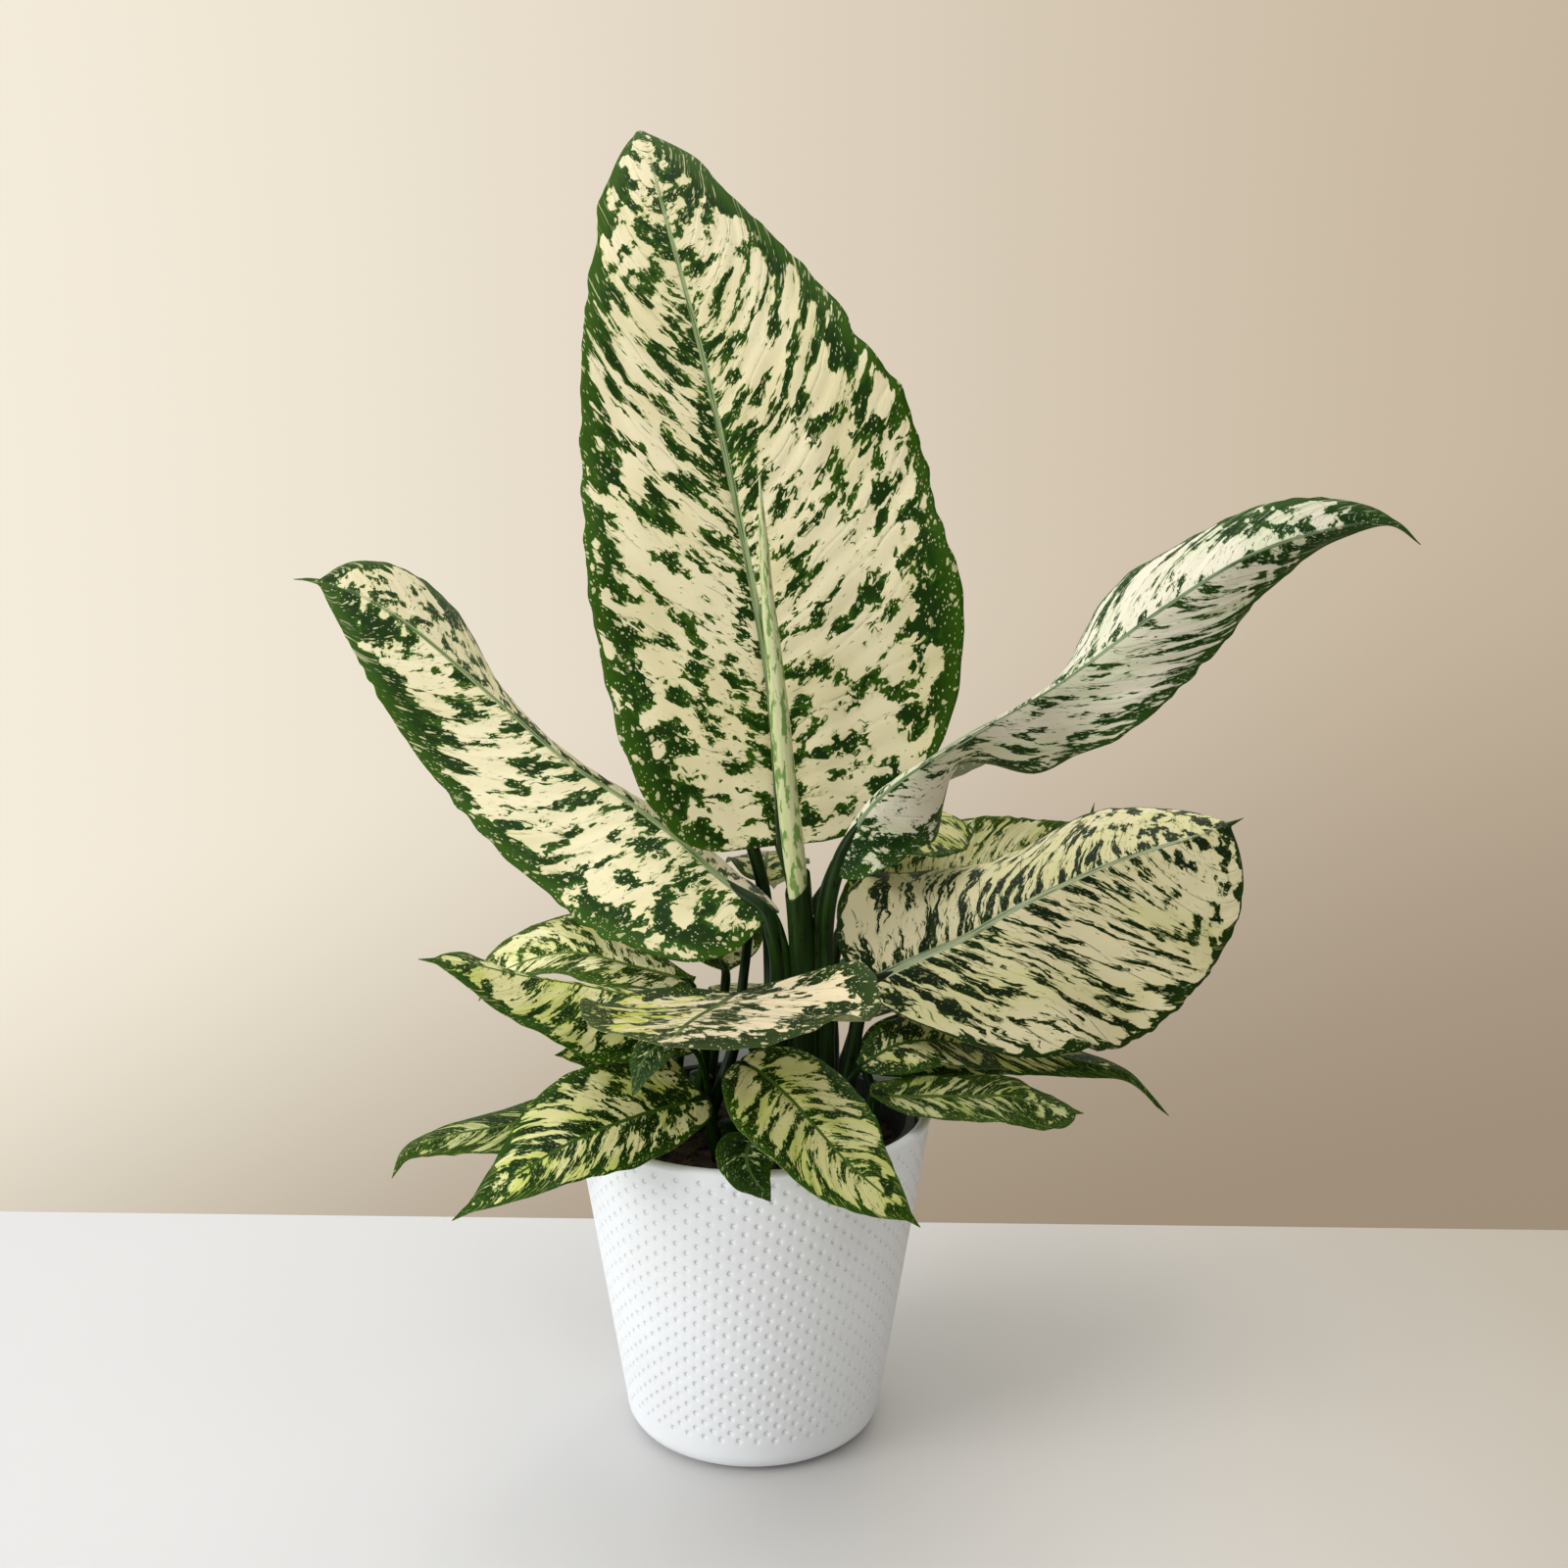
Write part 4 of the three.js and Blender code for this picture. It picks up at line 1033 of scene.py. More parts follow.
        right=Half(30, 0.55, 1.1, (0, 5, 0), (0, 0, 0)),
        lobe=4,
        wave=(1, 2),
        stalk=((-13.5, -38.5, 130), (-16, -40, 146)),
        radii=(2.6, 2.2),
        pattern=Pattern.DEEP,
    ),
    Leaf(
        "leaf_front_right",
        midrib=(
            (-5, -40, 172), (2, -46, 171), (15, -58, 164), (23, -67, 158), (37, -80, 146),
            (46, -84, 139), (56, -86, 131), (64, -86, 123),
        ),
        faces=((0.2, -0.5, 0.85), (0.2, -0.5, 0.85), (0.3, -0.6, 0.7)),
        left=Half(26, 0.55, 0.9, (0, 0, 0), (0, 0, 0)),
        right=Half(27, 0.55, 0.9, (0, 0, 0), (0, 0, 0)),
        lobe=4,
        wave=(1, 2),
        stalk=((-1.5, -39, 130), (-3, -42, 150)),
        radii=(2.6, 2.2),
        pattern=Pattern.LIME,
    ),
    Leaf(
        "leaf_far_left",
        midrib=(
            (-40, -20, 150), (-60, -30, 152), (-81, -38, 149), (-100, -40, 145),
            (-122, -44, 142), (-136, -48, 137), (-141, -52, 128),
        ),
        faces=((0, -0.4, 0.9), (0, -0.4, 0.9), (-0.2, -0.5, 0.8)),
        left=Half(14, 0.5, 0.8, (0, -20, -20), (0, 0, 0)),
        right=Half(16, 0.5, 0.8, (0, -20, -20), (0, 0, 0)),
        lobe=2,
        wave=(1, 2),
        stalk=((-34.5, 11.3, 128), (-37, -2, 142)),
        radii=(2.4, 1.8),
        pattern=Pattern.OLIVE,
    ),
    Leaf(
        "leaf_right_drooping",
        midrib=(
            (46, 0, 157), (71, 8, 161), (97, 20, 159), (124, 32, 151),
            (147, 40, 143), (166, 44, 136), (186, 48, 115),
        ),
        faces=((0, -0.5, 0.85), (0, -0.5, 0.85), (0.2, -0.5, 0.8)),
        left=Half(24, 0.5, 1.4, (0, -20, -20), (0, 0, 0)),
        right=Half(17, 0.5, 1.4, (0, -20, -20), (0, 0, 0)),
        lobe=2,
        wave=(1, 2),
        stalk=((49, -16, 128), (51, -10, 144)),
        radii=(2.6, 2),
        pattern=Pattern.DEEP,
    ),
    Leaf(
        "leaf_right_front",
        midrib=(
            (48, -30, 156), (59, -28, 153), (74, -25, 152), (90, -20, 150), (105, -15, 148),
            (116, -12, 144), (132, -8, 139), (138, -6, 137),
        ),
        faces=((0, -0.5, 0.85), (0, -0.5, 0.85), (0.2, -0.5, 0.8)),
        left=Half(12, 0.5, 0.6, (0, 0, 0), (0, 0, 0)),
        right=Half(15, 0.6, 0.4, (0, 0, 0), (0, 0, 0)),
        lobe=2,
        wave=(1, 2),
        stalk=((45, -23, 128), (46, -27, 144)),
        radii=(2.4, 1.8),
        pattern=Pattern.OLIVE,
    ),
    Leaf(
        "leaf_over_rim",
        midrib=((2, -62, 150), (-1, -74, 149), (0, -84, 145), (8, -92, 136)),
        faces=((0, -0.3, 1), (0, -0.5, 0.8)),
        left=Half(12, 0.5, 0.8, (0, 0), (0, 0)),
        right=Half(12, 0.5, 0.8, (0, 0), (0, 0)),
        lobe=1,
        wave=(1, 1),
        stalk=((-8.5, -41, 128), (-4, -52, 142)),
        radii=(1.8, 1.3),
        pattern=Pattern.MOSS,
    ),
    Leaf(
        "leaf_right_dark",
        midrib=((44, -14, 161), (60, -8, 168), (77, 0, 167), (94, 7, 160), (108, 14, 149)),
        faces=((0, -0.4, 0.9), (0, -0.4, 0.9), (0.2, -0.4, 0.9)),
        left=Half(18, 0.8, 0.8, (0, 0, 0), (0, 0, 0)),
        right=Half(18, 0.5, 0.8, (0, 0, 0), (0, 0, 0)),
        lobe=2,
        wave=(1, 2),
        stalk=((38, -14, 128), (38, -13, 150)),
        radii=(2.4, 1.8),
        pattern=Pattern.DEEP,
    ),
    Leaf(
        "leaf_back_high",
        midrib=((-8, 54, 262), (-18, 82, 294), (-28, 116, 314), (-36, 154, 312), (-40, 190, 290)),
        faces=((0, -0.6, 0.8), (0, -0.2, 1), (0, 0.5, 0.9)),
        left=Half(40, 0.5, 0.8, (15, 5, -10), (0, -10, -20)),
        right=Half(40, 0.5, 0.8, (15, 5, -10), (0, -10, -20)),
        lobe=4,
        wave=(2, 3),
        stalk=((9.6, 13.4, 126), (8, 24, 180), (4, 41, 222)),
        radii=(4, 3),
        pattern=Pattern.IVORY,
    ),
    Leaf(
        "leaf_back_right",
        midrib=((44, 32, 166), (66, 56, 180), (90, 84, 184), (112, 112, 172), (126, 132, 152)),
        faces=((-0.2, -0.2, 1), (0, 0, 1), (0.3, 0.3, 1)),
        left=Half(34, 0.5, 0.8, (10, 0, -10), (0, -10, -10)),
        right=Half(34, 0.5, 0.8, (10, 0, -10), (0, -10, -10)),
        lobe=3,
        wave=(1.5, 2),
        stalk=((28.4, 14, 132), (38, 24, 148)),
        radii=(2.4, 2),
        pattern=Pattern.STREAKED,
    ),
    Leaf(
        "leaf_back_low",
        midrib=((8, 40, 158), (4, 66, 166), (0, 96, 162), (-4, 124, 146)),
        faces=((0, 0, 1), (0, 0.3, 1), (0, 0.7, 0.8)),
        left=Half(26, 0.5, 0.8, (10, 0, -10), (0, -10, -10)),
        right=Half(26, 0.5, 0.8, (10, 0, -10), (0, -10, -10)),
        lobe=3,
        wave=(1.5, 2),
        stalk=((16.9, 16.6, 132), (13, 27, 146)),
        radii=(2.4, 2),
        pattern=Pattern.DEEP,
    ),
    Leaf(
        "leaf_back_left_low",
        midrib=((-44, 32, 156), (-64, 46, 164), (-86, 60, 162), (-106, 74, 148)),
        faces=((0, 0, 1), (-0.1, 0.2, 1), (-0.4, 0.4, 0.9)),
        left=Half(24, 0.5, 0.8, (10, 0, -10), (0, -10, -10)),
        right=Half(24, 0.5, 0.8, (10, 0, -10), (0, -10, -10)),
        lobe=3,
        wave=(1.5, 2),
        stalk=((-28.4, 21.9, 126), (-38, 26, 144)),
        radii=(2.4, 1.9),
        pattern=Pattern.DEEP,
    ),
)


# ---- Finishes -----------------------------------------------------------------------------------


@dataclass(frozen=True)
class Variegation:
    """The colours of one kind of leaf, and how its green lies on its cream."""

    cream: tuple[int, int, int]
    cream_shade: tuple[int, int, int]
    fresh: tuple[int, int, int]
    # green: lighter blotch green, shown near the margin as a painted sheen; dark: the blotches' own deep tone
    green: tuple[int, int, int]
    dark: tuple[int, int, int]
    rib: tuple[int, int, int]
    pale: tuple[int, int, int]
    cover: float = 0.0
    margin: float = 10.0
    rim: float = 1.0
    speckle: float = 0.8
    stretch: float = 1.0
    fine: float = 1.0
    hairs: float = 0.35
    sided: float = 0.0
    under: float = 0.5


FINISHES = {
    Pattern.IVORY: Variegation(
        (236, 227, 190), (228, 219, 176), (168, 180, 100), (50, 86, 6), (20, 50, 0), (150, 166, 118),
        (196, 198, 156), cover=-0.002, margin=13.5,
    ),
    Pattern.FROSTED: Variegation(
        (226, 221, 200), (214, 216, 186), (150, 170, 116), (46, 78, 22), (20, 50, 12), (140, 158, 122),
        (190, 198, 166), cover=-0.045, margin=13.0,
    ),
    Pattern.STREAKED: Variegation(
        (238, 229, 188), (228, 223, 168), (150, 164, 76), (30, 56, 4), (12, 32, 0), (182, 194, 154),
        (190, 196, 140), cover=0.0, margin=4.0, rim=0.6, speckle=0.4, stretch=2.6, fine=1.7, hairs=0.7,
    ),
    Pattern.LIME: Variegation(
        (230, 226, 166), (206, 212, 120), (160, 182, 60), (46, 84, 4), (18, 46, 0), (84, 112, 40),
        (196, 204, 130), cover=0.0, margin=9.0, stretch=1.9,
    ),
    Pattern.ROSY: Variegation(
        (232, 216, 182), (200, 208, 84), (170, 178, 100), (46, 68, 26), (26, 46, 14), (84, 104, 50),
        (176, 182, 130), cover=0.014, margin=14.0, sided=1.0, stretch=0.9, fine=0.8,
    ),
    Pattern.DULL: Variegation(
        (240, 236, 186), (222, 222, 150), (140, 156, 62), (62, 92, 14), (30, 58, 2), (110, 128, 60),
        (214, 212, 156), cover=0.0, margin=7.0, hairs=0.5, under=0.4,
    ),
    Pattern.DEEP: Variegation(
        (230, 226, 168), (204, 212, 114), (130, 158, 46), (40, 74, 4), (16, 42, 0), (60, 92, 24),
        (156, 172, 98), cover=0.035, margin=8.0, stretch=1.5, hairs=0.5,
    ),
    Pattern.OLIVE: Variegation(
        (206, 208, 150), (184, 194, 112), (120, 142, 50), (54, 82, 14), (26, 50, 4), (92, 112, 44),
        (160, 172, 108), cover=0.035, margin=7.0, stretch=1.8, hairs=0.6,
    ),
    Pattern.MOSS: Variegation(
        (206, 212, 160), (176, 196, 110), (110, 138, 60), (40, 70, 16), (18, 42, 4), (84, 112, 60),
        (120, 140, 84), cover=0.1, margin=10.0, stretch=2.0, fine=1.6, speckle=0.6, hairs=0.5,
    ),
}


class LeafFinish:
    """The material of a blade: ragged green blotches over cream, laid out along the side veins."""

    CUT = 0.55  # level above which the blade is green
    SOFT = 0.007
    COLOURS = ("cream", "cream_shade", "fresh", "green", "dark", "rib", "pale")
    NUMBERS = ("cover", "margin", "rim", "speckle", "stretch", "fine", "hairs", "sided", "under")

    def __init__(self) -> None:
        """Builds the shared group once."""
        self.tree = self._group()
        self.made: dict[Pattern, bpy.types.Material] = {}

    def _level(self, g: Graph, entry: dict, place: object, bent: object, parts: dict) -> object:
        """How green a place is: noise stretched along the veins, broken into cells, and what adds to it.

        Args:
            g: The group's graph.
            entry: Its inputs.
            place: Place on the blade in millimetres.
            bent: The same, a little pushed about.
            parts: Distances to the vein line, the midrib, the margin and the tip.

        Returns:
            The level.
        """
        x, y, _ = g.split(bent)
        along_vein = g.node("ShaderNodeCombineXYZ")
        g.feed(along_vein.inputs[0], g.times(x, entry["fine"]))
        g.feed(along_vein.inputs[1], g.math("DIVIDE", g.times(y, entry["fine"]), entry["stretch"]))
        drawn = along_vein.outputs[0]
        _, block = g.cells(g.vector("MULTIPLY", drawn, (1.0, 0.45, 1.0)), 1.6)
        broken = g.times(0.13, g.math("SUBTRACT", g.split(block)[0], 0.5))
        blotch = g.total(g.noise(drawn, (8.0, 13.0, 5), 4.0, 0.47), broken)
        solid = g.vector("MULTIPLY", g.node("ShaderNodeTexCoord").outputs["Object"], (1000.0,) * 3)
        rounded = g.noise(solid, (7.5, 7.5, 10.0), 4.0, 0.54)
        at_tip = g.ease(parts["share"], 0.55, 0.86)
        blotch = g.total(blotch, g.times(at_tip, g.math("SUBTRACT", rounded, blotch)))
        uneven = g.ease(g.noise(place, (30, 24, 9), 2.0, 0.6), 0.36, 0.64)
        band = g.times(entry["margin"], g.total(0.25, g.times(1.7, uneven)))
        at_edge = g.ease(g.math("DIVIDE", parts["edge"], band), 1.4, 0.3)
        return g.total(
            blotch,
            g.times(0.16, g.math("SUBTRACT", parts["patch"], 0.5)),
            g.times(0.03, parts["on_vein"]),
            g.times(0.04, g.ease(parts["off"], 22.0, 3.0)),
            g.times(0.19, at_edge),
            g.times(-0.012, at_tip),
            g.times(0.25, entry["rim"], g.ease(parts["edge"], 2.4, 0.6)),
            entry["cover"],
        )

    def _group(self) -> bpy.types.NodeTree:
        """The group: place on the blade in, colour, roughness and height out.

        A narrow smoothstep cuts the level into green and cream. The green is lighter near the margin, a
        painted sheen, and darker deep inside the blotches, their own tone. Cream dots lie inside the green,
        thin green hairs on the veins, and a pale streaked midrib over both.

        Returns:
            The group's tree.
        """
        inputs = {key: ("Color", (0.5, 0.5, 0.5, 1.0)) for key in self.COLOURS}
        inputs.update({key: ("Float", 0.0) for key in self.NUMBERS})
        g, entry, leave = group_tree(
            "variegation", inputs, {"Color": "Color", "Roughness": "Float", "Height": "Float"}
        )
        place = g.vector("MULTIPLY", g.node("ShaderNodeUVMap", uv_map="surface").outputs[0], (UV_UNIT,) * 3)
        vein, edge, share, middle, under = map(g.attribute, ("vein", "edge", "share", "middle", "under"))
        off = g.math("ABSOLUTE", middle)
        warp = g.vector("SUBTRACT", g.noise(place, (9, 13, 9), 3.0, 0.6, colour=True), (0.5, 0.5, 0.5))
        bent = g.vector("ADD", place, g.vector("MULTIPLY", warp, (8.0, 8.0, 0.0)))
        patch = g.noise(place, (40, 40, 40), 1.0, 0.5)
        phase = g.math("SUBTRACT", g.math("FRACT", g.math("ADD", vein, 0.5)), 0.5)
        line = g.math("ABSOLUTE", phase)
        parts = {"edge": edge, "off": off, "share": share, "patch": patch, "on_vein": g.ease(line, 0.2, 0.0)}
        level = self._level(g, entry, place, bent, parts)
        green = g.ease(level, self.CUT - self.SOFT, self.CUT + self.SOFT)
        fleck_noise = g.noise(bent, (1.0, 5.5, 3), 2.5, 0.55)
        near_middle = g.times(0.05, g.ease(off, 30.0, 6.0))
        fleck_level = g.total(fleck_noise, near_middle, g.times(0.04, parts["on_vein"]))
        fleck = g.times(0.95, g.ease(fleck_level, 0.68, 0.7))
        hair = g.times(entry["hairs"], g.ease(line, 0.03, 0.012))
        gathered = g.ease(g.noise(place, (14, 12, 9), 2.0, 0.5), 0.44, 0.56)
        hair = g.times(hair, gathered, g.ease(edge, 0.0, 8.0))
        green = g.math("MAXIMUM", green, g.math("MAXIMUM", fleck, hair))
        dot, tint = g.cells(g.vector("MULTIPLY", bent, (1.0, 0.7, 1.0)), 2.4)
        chosen = g.ease(g.split(tint)[0], 0.62, 0.7)
        speck = g.times(chosen, g.ease(dot, 0.36, 0.26))
        fine_dot, fine_tint = g.cells(place, 1.15)
        fine = g.times(g.ease(g.split(fine_tint)[1], 0.6, 0.7), g.ease(fine_dot, 0.34, 0.22))
        speck = g.times(entry["speckle"], g.math("MAXIMUM", speck, fine))
        green = g.times(green, g.math("SUBTRACT", 1.0, speck))
        depth = g.noise(bent, (10, 18, 9), 3.0, 0.6)
        inside = g.ease(g.total(level, g.times(0.3, g.math("SUBTRACT", depth, 0.5))), 0.54, 0.66)
        # painted sheen: the lighter green near the margin stands for sheen; the darker green deep in the
        # blotches is their own tone
        blotch_green_and_painted_sheen = g.mix(g.times(inside, g.ease(edge, 0.0, 14.0)), entry["green"], entry["dark"])
        streak = g.ease(g.noise(bent, (7, 20, 9), 2.0, 0.5), 0.4, 0.6)
        one_side = g.times(entry["sided"], g.ease(middle, -4.0, 16.0), streak)
        unsided = g.math("SUBTRACT", 1.0, entry["sided"])
        plain = g.times(unsided, g.ease(g.total(patch, g.times(0.1, depth)), 0.44, 0.7))
        ground = g.mix(g.total(one_side, plain), entry["cream"], entry["cream_shade"])
        ground = g.mix(g.times(0.35, g.ease(level, self.CUT - 0.06, self.CUT)), ground, entry["fresh"])
        colour = g.mix(green, ground, blotch_green_and_painted_sheen)
        rib_half = g.total(0.6, g.times(1.4, g.math("SUBTRACT", 1.0, share)))
        rib_streak = g.noise(place, (30, 0.7, 3), 2.0, 0.5)
        rib_ragged = g.times(0.5, g.noise(place, (5, 3, 3), 2.0, 0.6))
        on_rib = g.ease(g.math("DIVIDE", off, rib_half), 1.2, g.total(0.55, rib_ragged))
        on_rib = g.times(on_rib, g.ease(share, 0.97, 0.75))
        rib = g.mix(g.times(0.8, g.ease(rib_streak, 0.5, 0.6)), entry["rib"], entry["green"])
        colour = g.mix(on_rib, colour, rib)
        colour = g.mix(g.times(under, entry["under"]), colour, entry["pale"])
        g.feed(leave.inputs["Color"], colour)
        grain = g.noise(place, (0.8, 1.6, 1), 2.0, 0.5)
        g.feed(leave.inputs["Roughness"], g.total(0.44, g.times(0.12, grain), g.times(0.1, under)))
        relief = g.total(g.times(0.5, grain), g.times(-0.7, g.ease(line, 0.1, 0.0)), g.times(0.12, green))
        g.feed(leave.inputs["Height"], relief)
        return g.tree

    def material(self, pattern: Pattern) -> bpy.types.Material:
        """The material of one kind of leaf, made the first time it is asked for.

        Args:
            pattern: The kind of leaf.

        Returns:
            Its material.
        """
        if pattern not in self.made:
            spec = FINISHES[pattern]
            made, graph, shader = new_material("leaf_" + pattern.value)
            group = graph.node("ShaderNodeGroup", node_tree=self.tree)
            for key in self.COLOURS:
                group.inputs[key].default_value = rgb(*getattr(spec, key))
            for key in self.NUMBERS:
                group.inputs[key].default_value = getattr(spec, key)
            graph.feed(shader.inputs["Base Color"], group.outputs["Color"])
            graph.feed(shader.inputs["Roughness"], group.outputs["Roughness"])
            graph.feed(shader.inputs["Normal"], graph.bump(group.outputs["Height"], 0.5, 0.0004))
            shader.inputs["Specular IOR Level"].default_value = 0.11
            shader.inputs["Subsurface Weight"].default_value = 0.1
            shader.inputs["Subsurface Scale"].default_value = 0.0012
            shader.inputs["Subsurface Radius"].default_value = (1.0, 1.0, 0.4)
            self.made[pattern] = made
        return self.made[pattern]


@dataclass(frozen=True)
class StemFinish:
    """Stalks, shoots and the sheath: green, darker in long streaks and small blotches."""

    name: str
    light: tuple[int, int, int]
    base: tuple[int, int, int]
    dark: tuple[int, int, int]
    blotch: float = 0.55
    rough: float = 0.36

    def material(self) -> bpy.types.Material:
        """Makes the material.

        Returns:
            The material.
        """
        made, g, shader = new_material(self.name)
        place = g.vector("MULTIPLY", g.node("ShaderNodeUVMap", uv_map="surface").outputs[0], (UV_UNIT,) * 3)
        streak = g.noise(place, (26, 1.6, 2), 3.0, 0.55)
        mottle = g.noise(place, (9, 2.6, 3), 3.0, 0.62)
        tone = g.mix(g.ease(streak, 0.4, 0.66), rgb(*self.base), rgb(*self.light))
        colour = g.mix(g.ease(mottle, self.blotch - 0.02, self.blotch + 0.05), tone, rgb(*self.dark))
        graph_rough = g.total(self.rough, g.times(0.14, mottle))
        g.feed(shader.inputs["Base Color"], colour)
        g.feed(shader.inputs["Roughness"], graph_rough)
        g.feed(shader.inputs["Normal"], g.bump(streak, 0.35, 0.0005))
        shader.inputs["Specular IOR Level"].default_value = 0.14
        return made


@dataclass(frozen=True)
class GlazeFinish:
    """Matte white glaze with a very faint grain, drawn in sharply at the rim of each dimple.

    The rows and columns are those of the pot it lies on, in millimetres; both are given by the pot.
    """

    columns: int
    pitch: float
    rows: int
    top: float
    shift: float
    edge: float
    inner: tuple[float, float]
    white: tuple[int, int, int] = (240, 244, 248)
    shade: tuple[int, int, int] = (236, 239, 242)

    def pressed(self, g: Graph, place: object) -> bpy.types.NodeSocket:
        """Height of the surface round the nearest dimple: 0 outside it and -1 on its bottom.

        Args:
            g: Graph of the material.
            place: Object coordinates.

        Returns:
            The height.
        """
        x, y, z = g.split(g.vector("MULTIPLY", place, (1000.0,) * 3))
        radius = g.math("SQRT", g.total(g.times(x, x), g.times(y, y)))
        row = g.times(g.math("SUBTRACT", self.top, z), 1 / self.pitch)
        line = g.math("MINIMUM", g.math("MAXIMUM", g.math("ROUND", row), 0.0), self.rows - 1.0)
        turned = g.times(g.math("ARCTAN2", y, x), self.columns / (2 * np.pi))
        turned = g.total(turned, g.times(line, self.shift))
        off_column = g.math("SUBTRACT", turned, g.math("ROUND", turned))
        around = g.times(off_column, radius, 2 * np.pi / self.columns)
        down = g.times(g.math("SUBTRACT", row, line), self.pitch)
        far = g.math("SQRT", g.total(g.times(around, around), g.times(down, down)))
        outer = g.math("GREATER_THAN", radius, g.total(self.inner[0], g.times(self.inner[1], z)))
        return g.times(g.ease(far, self.edge, 0.45 * self.edge), outer, -1.0)

    def material(self) -> bpy.types.Material:
        """Makes the material.

        Returns:
            The material.
        """
        made, g, shader = new_material("matte_glaze")
        place = g.node("ShaderNodeTexCoord").outputs["Object"]
        cloud = g.noise(place, (0.05, 0.05, 0.05), 3.0, 0.55)
        grain = g.noise(place, (0.0009, 0.0009, 0.0009), 2.0, 0.5)
        white = g.mix(g.ease(cloud, 0.35, 0.7), rgb(*self.white), rgb(*self.shade))
        g.feed(shader.inputs["Base Color"], white)
        g.feed(shader.inputs["Roughness"], g.total(0.5, g.times(0.12, cloud)))
        height = g.total(self.pressed(g, place), g.times(0.1, grain))
        g.feed(shader.inputs["Normal"], g.bump(height, 1.0, 0.00038))
        return made


@dataclass(frozen=True)
class MouldedFinish:
    """Black plastic or rubber with a fine grain and a little dust."""

    name: str
    base: tuple[int, int, int]
    dust: tuple[int, int, int]
    rough: float

    def material(self) -> bpy.types.Material:
        """Makes the material.

        Returns:
            The material.
        """
        made, g, shader = new_material(self.name)
        place = g.node("ShaderNodeTexCoord").outputs["Object"]
        dusty = g.noise(place, (0.012, 0.012, 0.006), 4.0, 0.6)
        grain = g.noise(place, (0.0006, 0.0006, 0.0006), 1.0, 0.5)
        g.feed(shader.inputs["Base Color"], g.mix(g.ease(dusty, 0.5, 0.75), rgb(*self.base), rgb(*self.dust)))
        g.feed(shader.inputs["Roughness"], g.total(self.rough, g.times(0.2, dusty)))
        g.feed(shader.inputs["Normal"], g.bump(grain, 0.3, 0.0002))
        return made


@dataclass(frozen=True)
class SoilFinish:
    """Dark peat with paler fibres."""

    peat: tuple[int, int, int] = (44, 32, 24)
    crumb: tuple[int, int, int] = (82, 62, 46)
    fibre: tuple[int, int, int] = (132, 108, 80)

    def material(self) -> bpy.types.Material:
        """Makes the material.

        Returns:
            The material.
        """
        made, g, shader = new_material("peat")
        place = g.node("ShaderNodeTexCoord").outputs["Object"]
        clump = g.noise(place, (0.006, 0.006, 0.006), 5.0, 0.65)
        grain = g.noise(place, (0.0014, 0.0014, 0.0014), 3.0, 0.6)
        colour = g.mix(g.ease(clump, 0.42, 0.66), rgb(*self.peat), rgb(*self.crumb))
        colour = g.mix(g.ease(grain, 0.66, 0.74), colour, rgb(*self.fibre))
        g.feed(shader.inputs["Base Color"], colour)
        g.feed(shader.inputs["Roughness"], g.total(0.85, g.times(0.1, grain)))
        g.feed(shader.inputs["Normal"], g.bump(g.total(clump, grain), 0.8, 0.0015))
        return made


@dataclass(frozen=True)
class RoomFinish:
    """Tabletop of the stage: pale and smooth, with painted shade that makes it darker and warmer towards its
    right.
    """

    name: str
    base: tuple[int, int, int]
    shade: tuple[int, int, int]
    rough: float

    def material(self) -> bpy.types.Material:
        """Makes the material.

        Returns:
            The material.
        """
        made, g, shader = new_material(self.name)
        place = g.node("ShaderNodeTexCoord").outputs["Object"]
        cloud = g.noise(place, (0.3, 0.3, 0.3), 2.0, 0.5)
        # painted shade: the colour grows darker and warmer towards +X
        painted_shade_right = g.ease(g.total(g.split(place)[0], g.times(0.1, cloud)), -0.1, 0.6)
        g.feed(shader.inputs["Base Color"], g.mix(painted_shade_right, rgb(*self.base), rgb(*self.shade)))
        g.feed(shader.inputs["Roughness"], g.total(self.rough, g.times(0.06, cloud)))
        return made




# ---- Sub-assemblies -----------------------------------------------------------------------------


